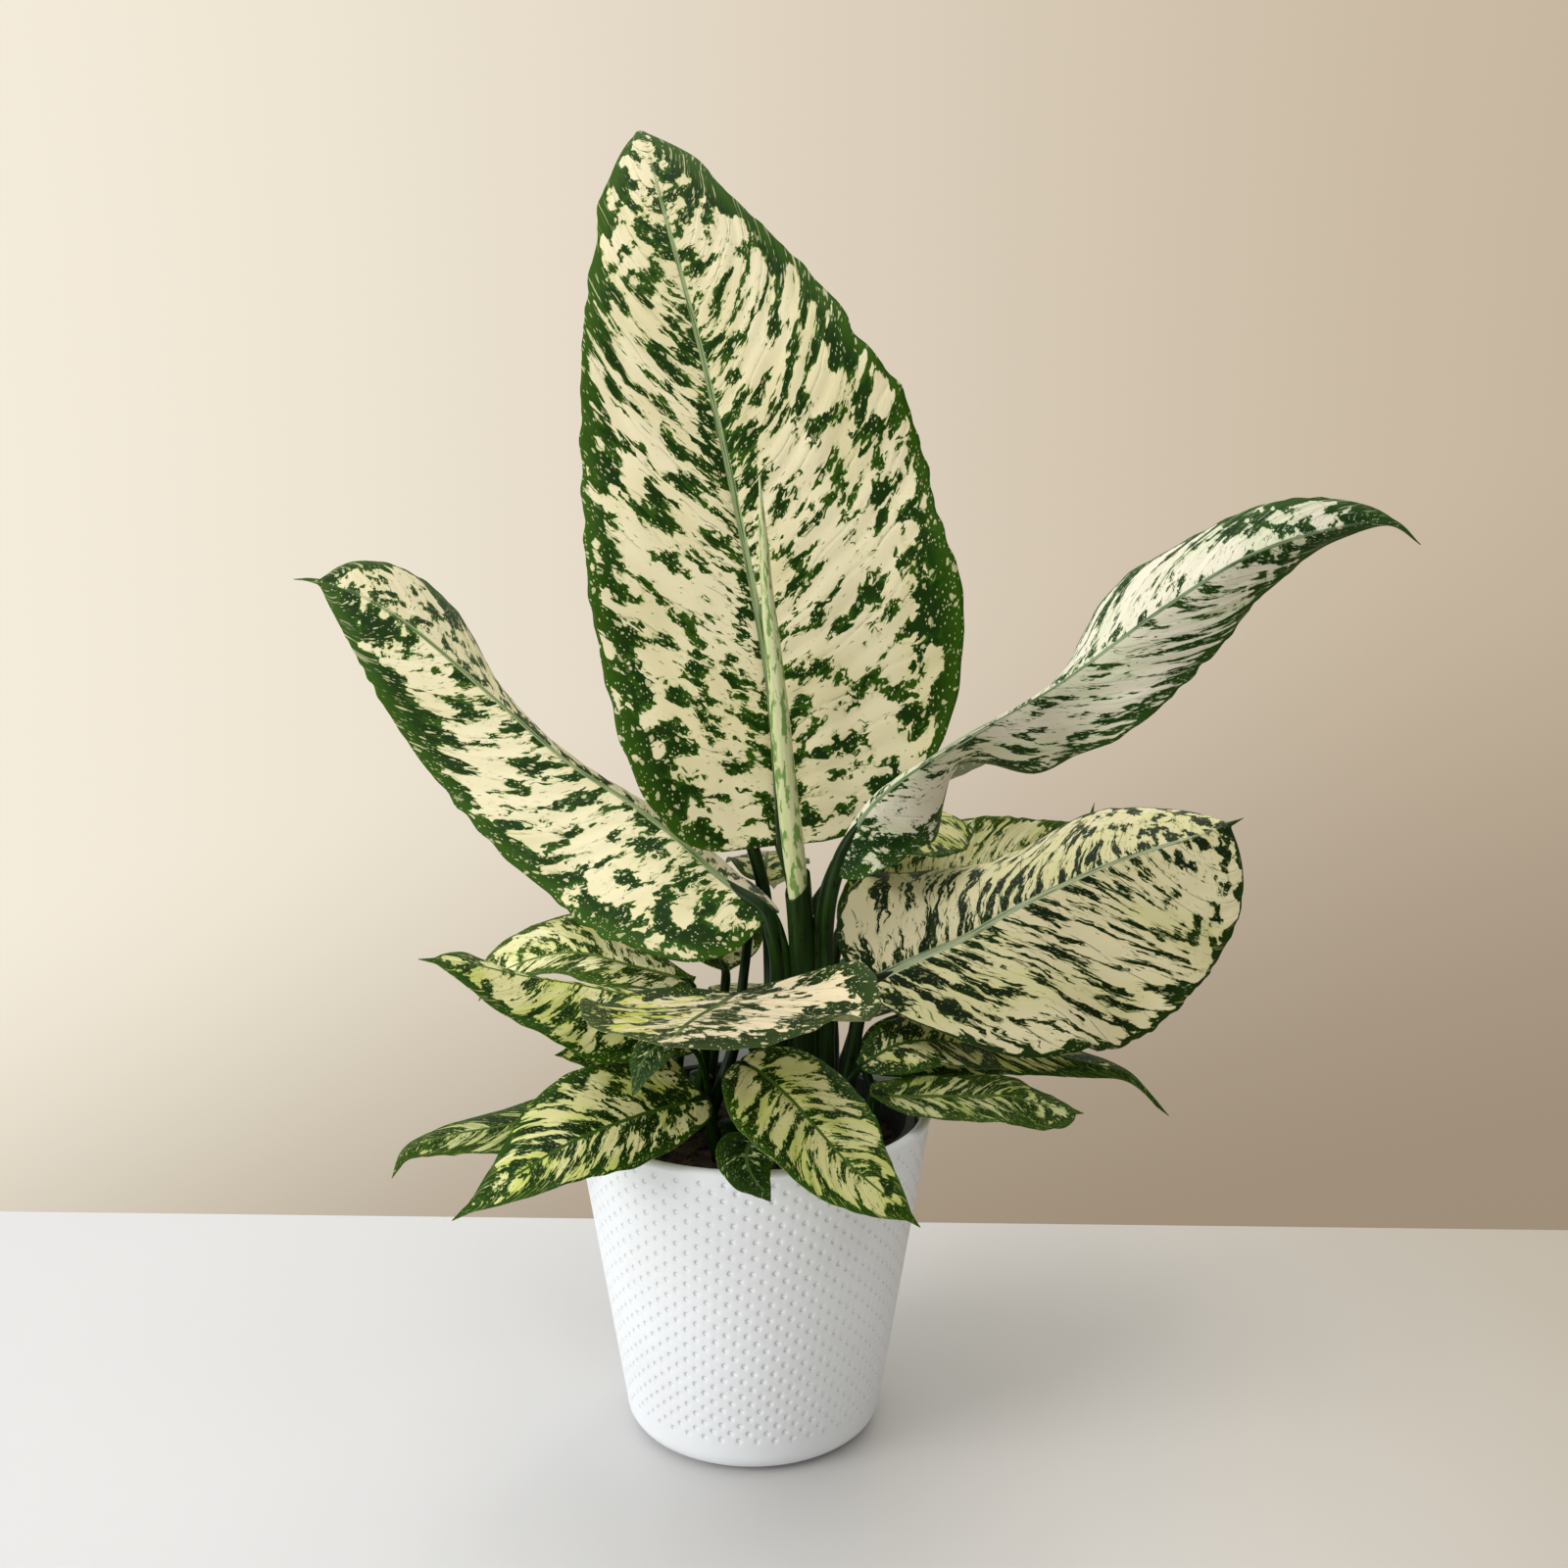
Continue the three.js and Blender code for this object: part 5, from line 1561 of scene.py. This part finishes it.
@dataclass
class Pot:
    """The outer pot: a tapered wall with rows of small dimples, a round lip and three pads."""

    height: float = 140.0
    rim_radius: float = 75.0
    wall_start_radius: float = 53.0
    foot_radius: float = 47.0
    wall: float = 4.5
    floor: float = 6.0
    base: float = 1.8
    corner: float = 9.0
    dimple_columns: int = 48
    points_per_dimple: int = 12
    dimple_pitch: float = 3.55
    dimple_rows: int = 34
    dimple_top: float = 134.2
    dimple_radius: float = 1.45
    dimple_depth: float = 0.6
    dimple_edge: float = 1.3
    lean: float = 0.0362
    pads: tuple[str, ...] = ("pad_1", "pad_2", "pad_3")
    pieces: list[bpy.types.Object] = field(default_factory=list)

    def wall_radius(self, height: np.ndarray) -> np.ndarray:
        """Outer radius at a height: a straight taper."""
        taper = (self.rim_radius - self.wall_start_radius) / self.height
        return self.wall_start_radius + taper * height

    def glaze(self) -> GlazeFinish:
        """The glaze, told where the dimples are."""
        taper = (self.rim_radius - self.wall_start_radius) / self.height
        return GlazeFinish(
            self.dimple_columns, self.dimple_pitch, self.dimple_rows, self.dimple_top, 0.5 + self.lean,
            self.dimple_edge, (self.wall_start_radius - self.wall / 2, taper),
        )

    def dimples(self, radius: np.ndarray, height: np.ndarray, sides: int) -> np.ndarray:
        """Depth of the dimples: d (1 - (r / R)^2)^2 in the distance r to the nearest dimple's middle.

        Middles lie in level rows; each row is half a pitch round from the one above it, and the whole
        field leans a little.

        Args:
            radius: Radius of each row of the grid.
            height: Its height.
            sides: Columns of the grid.

        Returns:
            Depths, a row for each height.
        """
        angle = np.linspace(0.0, 2.0 * np.pi, sides, endpoint=False)[None, :]
        row = (self.dimple_top - height[:, None]) / self.dimple_pitch
        nearest = np.clip(np.round(row), 0, self.dimple_rows - 1)
        depth = np.zeros((len(height), sides))
        for offset in (-1, 0, 1):
            line = np.clip(nearest + offset, 0, self.dimple_rows - 1)
            turned = angle / (2 * np.pi) * self.dimple_columns + line * (0.5 + self.lean)
            around = (turned - np.round(turned)) * 2 * np.pi / self.dimple_columns * radius[:, None]
            down = (row - line) * self.dimple_pitch
            far = np.clip((around**2 + down**2) / self.dimple_radius**2, 0.0, 1.0)
            depth = np.maximum(depth, self.dimple_depth * (1 - far) ** 1.2)
        return depth

    def build(self, glaze: bpy.types.Material) -> None:
        """Makes the pot from its profile, with the dimples pushed into the wall.

        Args:
            glaze: Its material.
        """
        sides = self.dimple_columns * self.points_per_dimple
        low = self.base + self.corner
        lip_radius = self.wall / 2
        lip = (self.rim_radius - lip_radius, self.height - lip_radius)
        quarter = np.radians(np.linspace(-90.0, 0.0, 9))
        wide = float(self.wall_radius(np.array(low))) - self.foot_radius
        corner = np.stack(
            [self.foot_radius + wide * np.cos(quarter), low + self.corner * np.sin(quarter)], axis=1
        )
        heights = np.linspace(low + 0.5, self.height - lip_radius - 0.5, 132)
        wall = np.stack([self.wall_radius(heights) - 0.02, heights], axis=1)
        rim = arc(lip, lip_radius, 0.0, 180.0, 12)
        inside = np.array([
            (self.wall_radius(np.array(h)) - self.wall, h) for h in (120.0, 60.0, 20.0)
        ], float)
        floor_height = self.base + self.floor
        inner_base = float(self.wall_radius(np.array(floor_height))) - self.wall
        floor = [(inner_base, floor_height), (20.0, floor_height), (0.05, floor_height)]
        inside = np.concatenate([inside, floor])
        outside = np.array([(0.05, self.base), (25.0, self.base), (self.foot_radius - 0.5, self.base)])
        profile = np.concatenate([outside, corner, wall, rim, inside, outside[:1]])
        push = np.zeros((len(profile), sides, 2))
        start = len(outside) + len(corner)
        rows = slice(start, start + len(wall))
        push[rows, :, 0] = -self.dimples(wall[:, 0], wall[:, 1], sides)
        shell = lathe("pot_shell", profile[:-1], sides, glaze, push[:-1])
        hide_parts("pot")
        self.pieces.append(shell)

    def dress(self, nodes: dict[str, bpy.types.Object], rubber: bpy.types.Material) -> None:
        """Gives the pads under the pot their material.

        Args:
            nodes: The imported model's nodes.
            rubber: Their material.
        """
        for name in self.pads:
            dress_node(nodes[name], rubber)


@dataclass
class NurseryPot:
    """The black inner pot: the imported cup, with a smooth rolled rim of its own."""

    rim_radius: float = 66.0
    top: float = 134.0
    bead: float = 1.3
    sides: int = 180

    def build(self, nodes: dict[str, bpy.types.Object], plastic: bpy.types.Material) -> bpy.types.Object:
        """Dresses the cup and lays a ring on its rim.

        Args:
            nodes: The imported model's nodes.
            plastic: Their material.

        Returns:
            The ring.
        """
        dress_node(nodes["nursery_pot"], plastic)
        ring = arc((self.rim_radius + 0.6, self.top - self.bead), self.bead, 0.0, 360.0, 14)[:-1]
        profile = np.concatenate([ring, ring[:1]])
        piece = lathe("nursery_rim", profile, self.sides, plastic)
        return piece


@dataclass
class Soil:
    """Peat inside the nursery pot: a cone filling, a rough top, crumbs and perlite."""

    top: float = 122.0
    mound: float = 3.0
    rough: float = 1.3
    crumbs: int = 320
    perlite: int = 14
    sides: int = 150
    rings: int = 60
    edge: float = 62.2
    foot: float = 42.3
    low: float = 10.2

    def surface(self, radius: np.ndarray, x: np.ndarray, y: np.ndarray, edge: float) -> np.ndarray:
        """Height of the top: a low mound m (1 - (r/R)^2) with swells of three sizes."""
        mound = self.mound * (1.0 - (radius / edge) ** 2)
        large, medium, fine = swell(x, y, 16.0, 1), swell(x, y, 6.0, 2), swell(x, y, 3.0, 3)
        bumps = self.rough * (0.55 * large + 0.5 * medium + 0.25 * fine)
        return self.top - 1.0 + mound + bumps

    def build(self, finish: bpy.types.Material, white: bpy.types.Material) -> list[bpy.types.Object]:
        """Makes the filling and its loose bits.

        Args:
            finish: Material of the peat.
            white: Material of the perlite.

        Returns:
            The pieces.
        """
        edge, foot, low = self.edge, self.foot, self.low
        angle = np.linspace(0.0, 2.0 * np.pi, self.sides, endpoint=False)
        rings = edge * np.sqrt(np.linspace(1.0, 0.0, self.rings)[:, None])
        rings = np.maximum(np.broadcast_to(rings, (self.rings, self.sides)), 0.05)
        x, y = rings * np.cos(angle), rings * np.sin(angle)
        z = self.surface(rings, x, y, edge)
        top = np.stack([x, y, z], axis=-1)
        side = []
        for radius, height in ((0.05, low), (foot, low), (edge - 0.3, self.top - 6.0)):
            level = np.full(self.sides, height)
            side.append(np.stack([radius * np.cos(angle), radius * np.sin(angle), level], axis=-1))
        grid = np.concatenate([np.array(side), top])
        quads = grid_faces(len(grid), self.sides, wrap=True)
        filling = make_piece("soil_filling", grid.reshape(-1, 3), quads, [finish])
        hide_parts("soil")
        return [filling, self.bits("soil_crumbs", self.crumbs, (0.6, 2.6), finish, edge, 5),
                self.bits("soil_perlite", self.perlite, (0.9, 1.8), white, edge, 9)]

    def bits(
        self,
        name: str,
        count: int,
        sizes: tuple[float, float],
        finish: bpy.types.Material,
        edge: float,
        seed: int,
    ) -> bpy.types.Object:
        """Loose bits: small closed lumps, each a sphere with uneven radii, lying on the surface.

        Args:
            name: Name of the piece.
            count: How many.
            sizes: Smallest and largest radius.
            finish: Their material.
            edge: Radius of the soil.
            seed: Seed of their places.

        Returns:
            The piece.
        """
        draw = np.random.default_rng(seed)
        across, up = 8, 6
        turn = np.linspace(0.0, 2 * np.pi, across, endpoint=False)[None, :]
        rise = np.linspace(-math.pi / 2, math.pi / 2, up)[:, None]
        flat = np.maximum(np.cos(rise), 0.02)
        level = np.sin(rise) * np.ones_like(turn)
        ball = np.stack([flat * np.cos(turn), flat * np.sin(turn), level], axis=-1)
        radius = sizes[0] + (sizes[1] - sizes[0]) * draw.random(count) ** 2
        far = (edge - 4.0) * np.sqrt(draw.random(count))
        angle = 2 * np.pi * draw.random(count)
        x, y = far * np.cos(angle), far * np.sin(angle)
        z = self.surface(far, x, y, edge) + radius * 0.1
        centre = np.stack([x, y, z], axis=-1)
        squash = 0.6 + 0.7 * draw.random((count, 1, 1, 3))
        lumps = 1.0 + 0.3 * (draw.random((count, up, across, 1)) - 0.5)
        points = centre[:, None, None] + ball[None] * squash * lumps * radius[:, None, None, None]
        quads = grid_faces(up, across, wrap=True)
        every = quads[None] + (np.arange(count) * up * across)[:, None, None]
        piece = make_piece(name, points.reshape(-1, 3), every.reshape(-1, 4), [finish])
        return piece


@dataclass
class Shoot:
    """A thick green shoot: a tube with shallow rings where old leaves were."""

    name: str
    line: Sequence[Sequence[float]]
    radii: Sequence[float]
    rings: int = 4
    ring_depth: float = 0.35
    sides: int = 40

    def build(self, finish: bpy.types.Material) -> bpy.types.Object:
        """Makes the tube: its radius falls by a narrow bell at each ring.

        Args:
            finish: Its material.

        Returns:
            The piece.
        """
        line = Line(self.line)
        place = np.linspace(0.0, 1.0, 90)
        radii = along(self.radii, place)
        for k in range(self.rings):
            at = 0.42 + 0.5 * (k + 0.5) / self.rings
            radii = radii - self.ring_depth * np.exp(-(((place - at) / 0.012) ** 2))
        radii = radii * (1.0 - 0.35 * ease(place, 0.965, 1.0))
        points, quads, uv = tube(line.point(place), radii, self.sides)
        piece = make_piece(self.name + "_skin", points, quads, [finish], uv=uv)
        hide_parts(self.name)
        return piece


SHOOTS = (
    Shoot("shoot_main", ((20, 4, 100), (20, 4, 126), (20, 4, 150)), (10.5, 10.0)),
    Shoot("shoot_left", ((-30, 14, 104), (-27, 14, 126), (-22, 14, 148)), (6.0, 5.0)),
    Shoot("shoot_front", ((-6, -30, 104), (-7, -34, 126), (-9, -38, 146)), (6.0, 5.0)),
    Shoot("shoot_right", ((42, -16, 104), (43, -17, 126), (44, -19, 142)), (6.0, 5.0)),
)


@dataclass
class YoungLeaf:
    """The rolled young leaf: a spindle whose outer edge winds round it once, as a small step."""

    line: Sequence[Sequence[float]] = (
        (20.5, -2, 150.3), (20.5, -2, 200), (19, -1, 229), (16, 0, 255),
        (13, 3, 283), (10, 8, 315), (6, 14, 354), (3, 22, 399),
    )
    radii: Sequence[float] = (3.6, 3.6, 4.2, 4.8, 4.4, 3.6, 2.4, 0.5)
    step: float = 0.55
    turns: float = 0.9
    first_angle: float = 4.4
    sides: int = 64

    def build(self, finish: bpy.types.Material) -> bpy.types.Object:
        """Makes the spindle: radius r (1 - step (angle since the edge) / 2 pi), the edge winding upwards.

        Args:
            finish: Its material.

        Returns:
            The piece.
        """
        line = Line(self.line)
        place = np.linspace(0.0, 1.0, 260)
        radii = along(self.radii, place)[:, None]
        angle = np.linspace(0.0, 2 * np.pi, self.sides, endpoint=False)[None, :]
        since = angle - self.first_angle - 2 * np.pi * self.turns * place[:, None]
        since = np.mod(since, 2 * np.pi) / (2 * np.pi)
        show = ease(place, 0.3, 0.45)[:, None] * ease(place, 1.0, 0.9)[:, None]
        sharp = since * ease(since, 0.0, 0.03)
        body = radii * (1.0 - 0.01) - self.step * show * (1.0 - sharp) * (radii / 4.8)
        points, quads, uv = tube(line.point(place), body, self.sides)
        piece = make_piece("young_leaf_skin", points, quads, [finish], uv=uv)
        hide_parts("young_leaf")
        return piece


@dataclass
class Sheath:
    """The green sheath round the foot of the young leaf: a sleeve with a slanted mouth."""

    line: Sequence[Sequence[float]] = ((20.5, -2, 150.3), (20.5, -2, 200), (19, -1, 229), (16.5, 0, 250))
    radii: Sequence[float] = (4.8, 4.8, 5.4, 5.9)
    bore: Sequence[float] = (3.95, 3.95, 4.55, 5.15)
    mouth: tuple[float, float, float] = (19.0, -1.0, 234.0)
    mouth_face: tuple[float, float, float] = (-0.6, -0.5, 0.7)
    sides: int = 64
    rows: int = 120

    def wall(self, radii: Sequence[float], inset: float) -> np.ndarray:
        """A grid round the line, each column drawn in so that it ends on the slanted mouth.

        Args:
            radii: Stations of the radius.
            inset: Millimetres taken off the radius.

        Returns:
            Points, a row for each step up.
        """
        line = Line(self.line)
        share = np.linspace(0.0, 1.0, 400)
        centre = line.point(share)
        tangent = line.tangent(share)
        side = unit(np.cross(tangent, (0.0, 1.0, 0.02)))
        other = np.cross(tangent, side)
        angle = np.linspace(0.0, 2 * np.pi, self.sides, endpoint=False)
        ring = side[:, None] * np.cos(angle)[None, :, None] + other[:, None] * np.sin(angle)[None, :, None]
        grid = centre[:, None] + ring * (along(radii, share) - inset)[:, None, None]
        above = (grid - np.array(self.mouth)) @ unit(np.array(self.mouth_face))
        last = np.argmax(above > 0, axis=0)
        last = np.where(above[-1] > 0, last, len(share) - 1)
        place = np.linspace(0.0, 1.0, self.rows)[:, None] * last[None, :]
        low = np.floor(place).astype(int)
        high = np.minimum(low + 1, len(share) - 1)
        column = np.arange(self.sides)[None, :]
        weight = (place - low)[..., None]
        return grid[low, column] * (1 - weight) + grid[high, column] * weight

    def build(self, finish: bpy.types.Material) -> bpy.types.Object:
        """Makes the sleeve from its outer and its inner wall, joined at the mouth and at the foot.

        Args:
            finish: Its material.

        Returns:
            The piece.
        """
        outer = self.wall(self.radii, 0.05)
        inner = self.wall(self.bore, 0.0)
        inner[-1] = inner[-1] * 0.5 + outer[-1] * 0.5
        grid = np.concatenate([outer, inner[::-1], outer[:1]])
        quads = grid_faces(len(grid) - 1, self.sides, wrap=True)
        last = (len(grid) - 2) * self.sides
        around = np.arange(self.sides)
        following = (around + 1) % self.sides
        foot = np.stack([last + around, last + following, following, around], axis=1)
        quads = np.concatenate([quads, foot])
        height = grid[:-1, :, 2].ravel()
        across = np.tile(np.arange(self.sides) * 0.5, len(grid) - 1)
        uv = np.stack([height, across], axis=-1) / UV_UNIT
        piece = make_piece("sheath_skin", grid[:-1].reshape(-1, 3), quads, [finish], uv=uv)
        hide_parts("sheath")
        return piece


@dataclass
class Foliage:
    """All the leaves of the plant, kept inside a box in millimetres."""

    box: np.ndarray
    leaves: Sequence[Leaf] = LEAVES
    first_seed: int = 3

    def build(self, stem: bpy.types.Material) -> int:
        """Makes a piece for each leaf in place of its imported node.

        Args:
            stem: Material of the stalks.

        Returns:
            How many faces they have in all.
        """
        finish = LeafFinish()
        faces = 0
        for number, leaf in enumerate(self.leaves):
            finishes = [finish.material(leaf.pattern), stem]
            piece = Blade(leaf, self.first_seed + number).build(finishes, self.box)
            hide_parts(leaf.name)
            faces += len(piece.data.polygons)
        return faces


@dataclass
class Studio:
    """The stage: a tabletop with painted shade on its right, a warm backdrop of the world with painted light
    and shade, soft lights and the camera.
    """

    table_half_width: float = 2.6
    table_back: float = 0.19
    table_slant: float = 0.028
    table_front: float = -2.6
    table_thick: float = 0.03
    camera_place: tuple[float, float, float] = (0.013, -0.7044, 0.4076)
    camera_tilt: float = 79.4
    lens: float = 40.5

    def table(self, finish: bpy.types.Material) -> None:
        """Makes the tabletop: a thin block with its top on the ground."""
        x, back, front, low = self.table_half_width, self.table_back, self.table_front, -self.table_thick
        slant = x * self.table_slant
        corners = [(-x, front), (x, front), (x, back - slant), (-x, back + slant)]
        points = [(cx, cy, low) for cx, cy in corners] + [(cx, cy, 0.0) for cx, cy in corners]
        faces = [(3, 2, 1, 0), (4, 5, 6, 7), (0, 1, 5, 4), (1, 2, 6, 5), (2, 3, 7, 6), (3, 0, 4, 7)]
        mesh = bpy.data.meshes.new("tabletop")
        mesh.from_pydata(points, [], faces)
        mesh.materials.append(finish)
        top = bpy.data.objects.new("tabletop", mesh)
        bpy.context.scene.collection.objects.link(top)
        top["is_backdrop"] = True

    def world(self) -> None:
        """Lights the room: a warm wall for the camera alone, with painted light that makes it brighter on the
        left and painted shade that darkens it towards the bottom right, and soft light all round.
        """
        made = bpy.data.worlds.new("room")
        made.use_nodes = True
        made.node_tree.nodes.clear()
        g = Graph(made.node_tree)
        x, _, z = g.split(g.node("ShaderNodeTexCoord").outputs["Generated"])
        # painted light and shade on the camera-only wall: brighter on the left, darker on the right and
        # towards the bottom right
        wall = g.mix(g.ease(x, -0.6, 0.6), rgb(248, 240, 223), rgb(194, 176, 152))
        wall = g.mix(g.ease(g.total(z, g.times(-0.3, x)), -0.5, -0.1), rgb(158, 142, 122), wall)
        seen = g.node("ShaderNodeBackground")
        g.feed(seen.inputs["Color"], wall)
        seen.inputs["Strength"].default_value = 1.0
        lit = g.node("ShaderNodeBackground")
        glow = g.mix(g.ease(x, -0.6, 0.8), rgb(255, 255, 255), rgb(132, 124, 112))
        glow = g.mix(g.ease(z, 0.3, 0.95), glow, rgb(255, 254, 252))
        g.feed(lit.inputs["Color"], glow)
        lit.inputs["Strength"].default_value = 0.81
        path = g.node("ShaderNodeLightPath")
        both = g.node("ShaderNodeMixShader")
        g.feed(both.inputs[0], path.outputs["Is Camera Ray"])
        g.feed(both.inputs[1], lit.outputs[0])
        g.feed(both.inputs[2], seen.outputs[0])
        output = g.node("ShaderNodeOutputWorld")
        g.feed(output.inputs["Surface"], both.outputs[0])
        bpy.context.scene.world = made

    def lamp(
        self, name: str, place: Sequence[float], aim: Sequence[float], size: float, power: float,
        colour: tuple[float, float, float],
    ) -> None:
        """A square soft light.

        Args:
            name: Its name.
            place: Where it stands.
            aim: The point that it faces.
            size: Length of its side.
            power: Watts.
            colour: Linear colour.
        """
        light = bpy.data.lights.new(name, "AREA")
        light.size = size
        light.energy = power
        light.color = colour
        stand = bpy.data.objects.new(name, light)
        away = np.array(place, float) - np.array(aim, float)
        flat = math.hypot(away[0], away[1])
        stand.location = place
        stand.rotation_euler = (math.atan2(flat, away[2]), 0.0, math.atan2(away[0], -away[1]))
        bpy.context.scene.collection.objects.link(stand)

    def camera(self) -> None:
        """Sets the camera up at the photo's angle."""
        data = bpy.data.cameras.new("camera")
        data.lens = self.lens
        data.sensor_width = 36.0
        stand = bpy.data.objects.new("camera", data)
        stand.location = self.camera_place
        stand.rotation_euler = (math.radians(self.camera_tilt), 0.0, 0.0)
        bpy.context.scene.collection.objects.link(stand)
        bpy.context.scene.camera = stand

    def build(self) -> None:
        """Sets up the whole stage."""
        # the tabletop's second colour is its painted shade on the right
        self.table(RoomFinish("tabletop", (220, 220, 221), (188, 178, 160), 0.4).material())
        self.world()
        self.lamp("key", (-1.5, -0.85, 0.68), (0.0, 0.0, 0.2), 0.9, 14.5, (1.0, 0.99, 0.97))
        self.lamp("top", (-0.2, 0.1, 1.7), (0.0, 0.0, 0.2), 1.1, 8.0, (1.0, 0.98, 0.94))
        self.lamp("back", (0.7, 1.3, 1.2), (0.1, 0.0, 0.0), 0.8, 4.0, (1.0, 0.93, 0.82))
        self.camera()
        bpy.context.scene.view_settings.view_transform = "Standard"


def dress_node(node: bpy.types.Object, finish: bpy.types.Material) -> None:
    """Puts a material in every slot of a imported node.

    Args:
        node: The node.
        finish: Its material.
    """
    if not node.material_slots:
        node.data.materials.append(finish)
    for slot in node.material_slots:
        slot.material = finish


def main() -> None:
    """Builds every sub-assembly in order, keeps the leaves inside the imported model's size, and logs face
    counts.
    """
    logging.basicConfig(level=logging.INFO, format="%(message)s")
    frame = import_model()
    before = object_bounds()
    nodes = frame["nodes"]

    pot = Pot()
    pot.build(pot.glaze().material())
    pot.dress(nodes, MouldedFinish("rubber", (24, 24, 25), (52, 52, 52), 0.6).material())
    LOG.info("pot: %d faces", len(pot.pieces[0].data.polygons))

    plastic = MouldedFinish("black_plastic", (17, 16, 16), (58, 52, 46), 0.42).material()
    rim = NurseryPot().build(nodes, plastic)
    LOG.info("nursery pot rim: %d faces", len(rim.data.polygons))

    perlite = MouldedFinish("perlite", (214, 208, 196), (176, 166, 150), 0.7).material()
    for piece in Soil().build(SoilFinish().material(), perlite):
        LOG.info("%s: %d faces", piece.name, len(piece.data.polygons))

    stem = StemFinish("green_stem", (25, 54, 4), (14, 34, 2), (6, 16, 0), 0.6, 0.34).material()
    for shoot in SHOOTS:
        LOG.info("%s: %d faces", shoot.name, len(shoot.build(stem).data.polygons))

    rolled = StemFinish("rolled_leaf", (206, 208, 168), (190, 198, 140), (112, 142, 74), 0.53, 0.4).material()
    LOG.info("young leaf: %d faces", len(YoungLeaf().build(rolled).data.polygons))
    LOG.info("sheath: %d faces", len(Sheath().build(stem).data.polygons))
    LOG.info("leaves: %d faces", Foliage(np.array(before) / MM).build(stem))

    Studio().build()


if __name__ == "__main__":
    main()
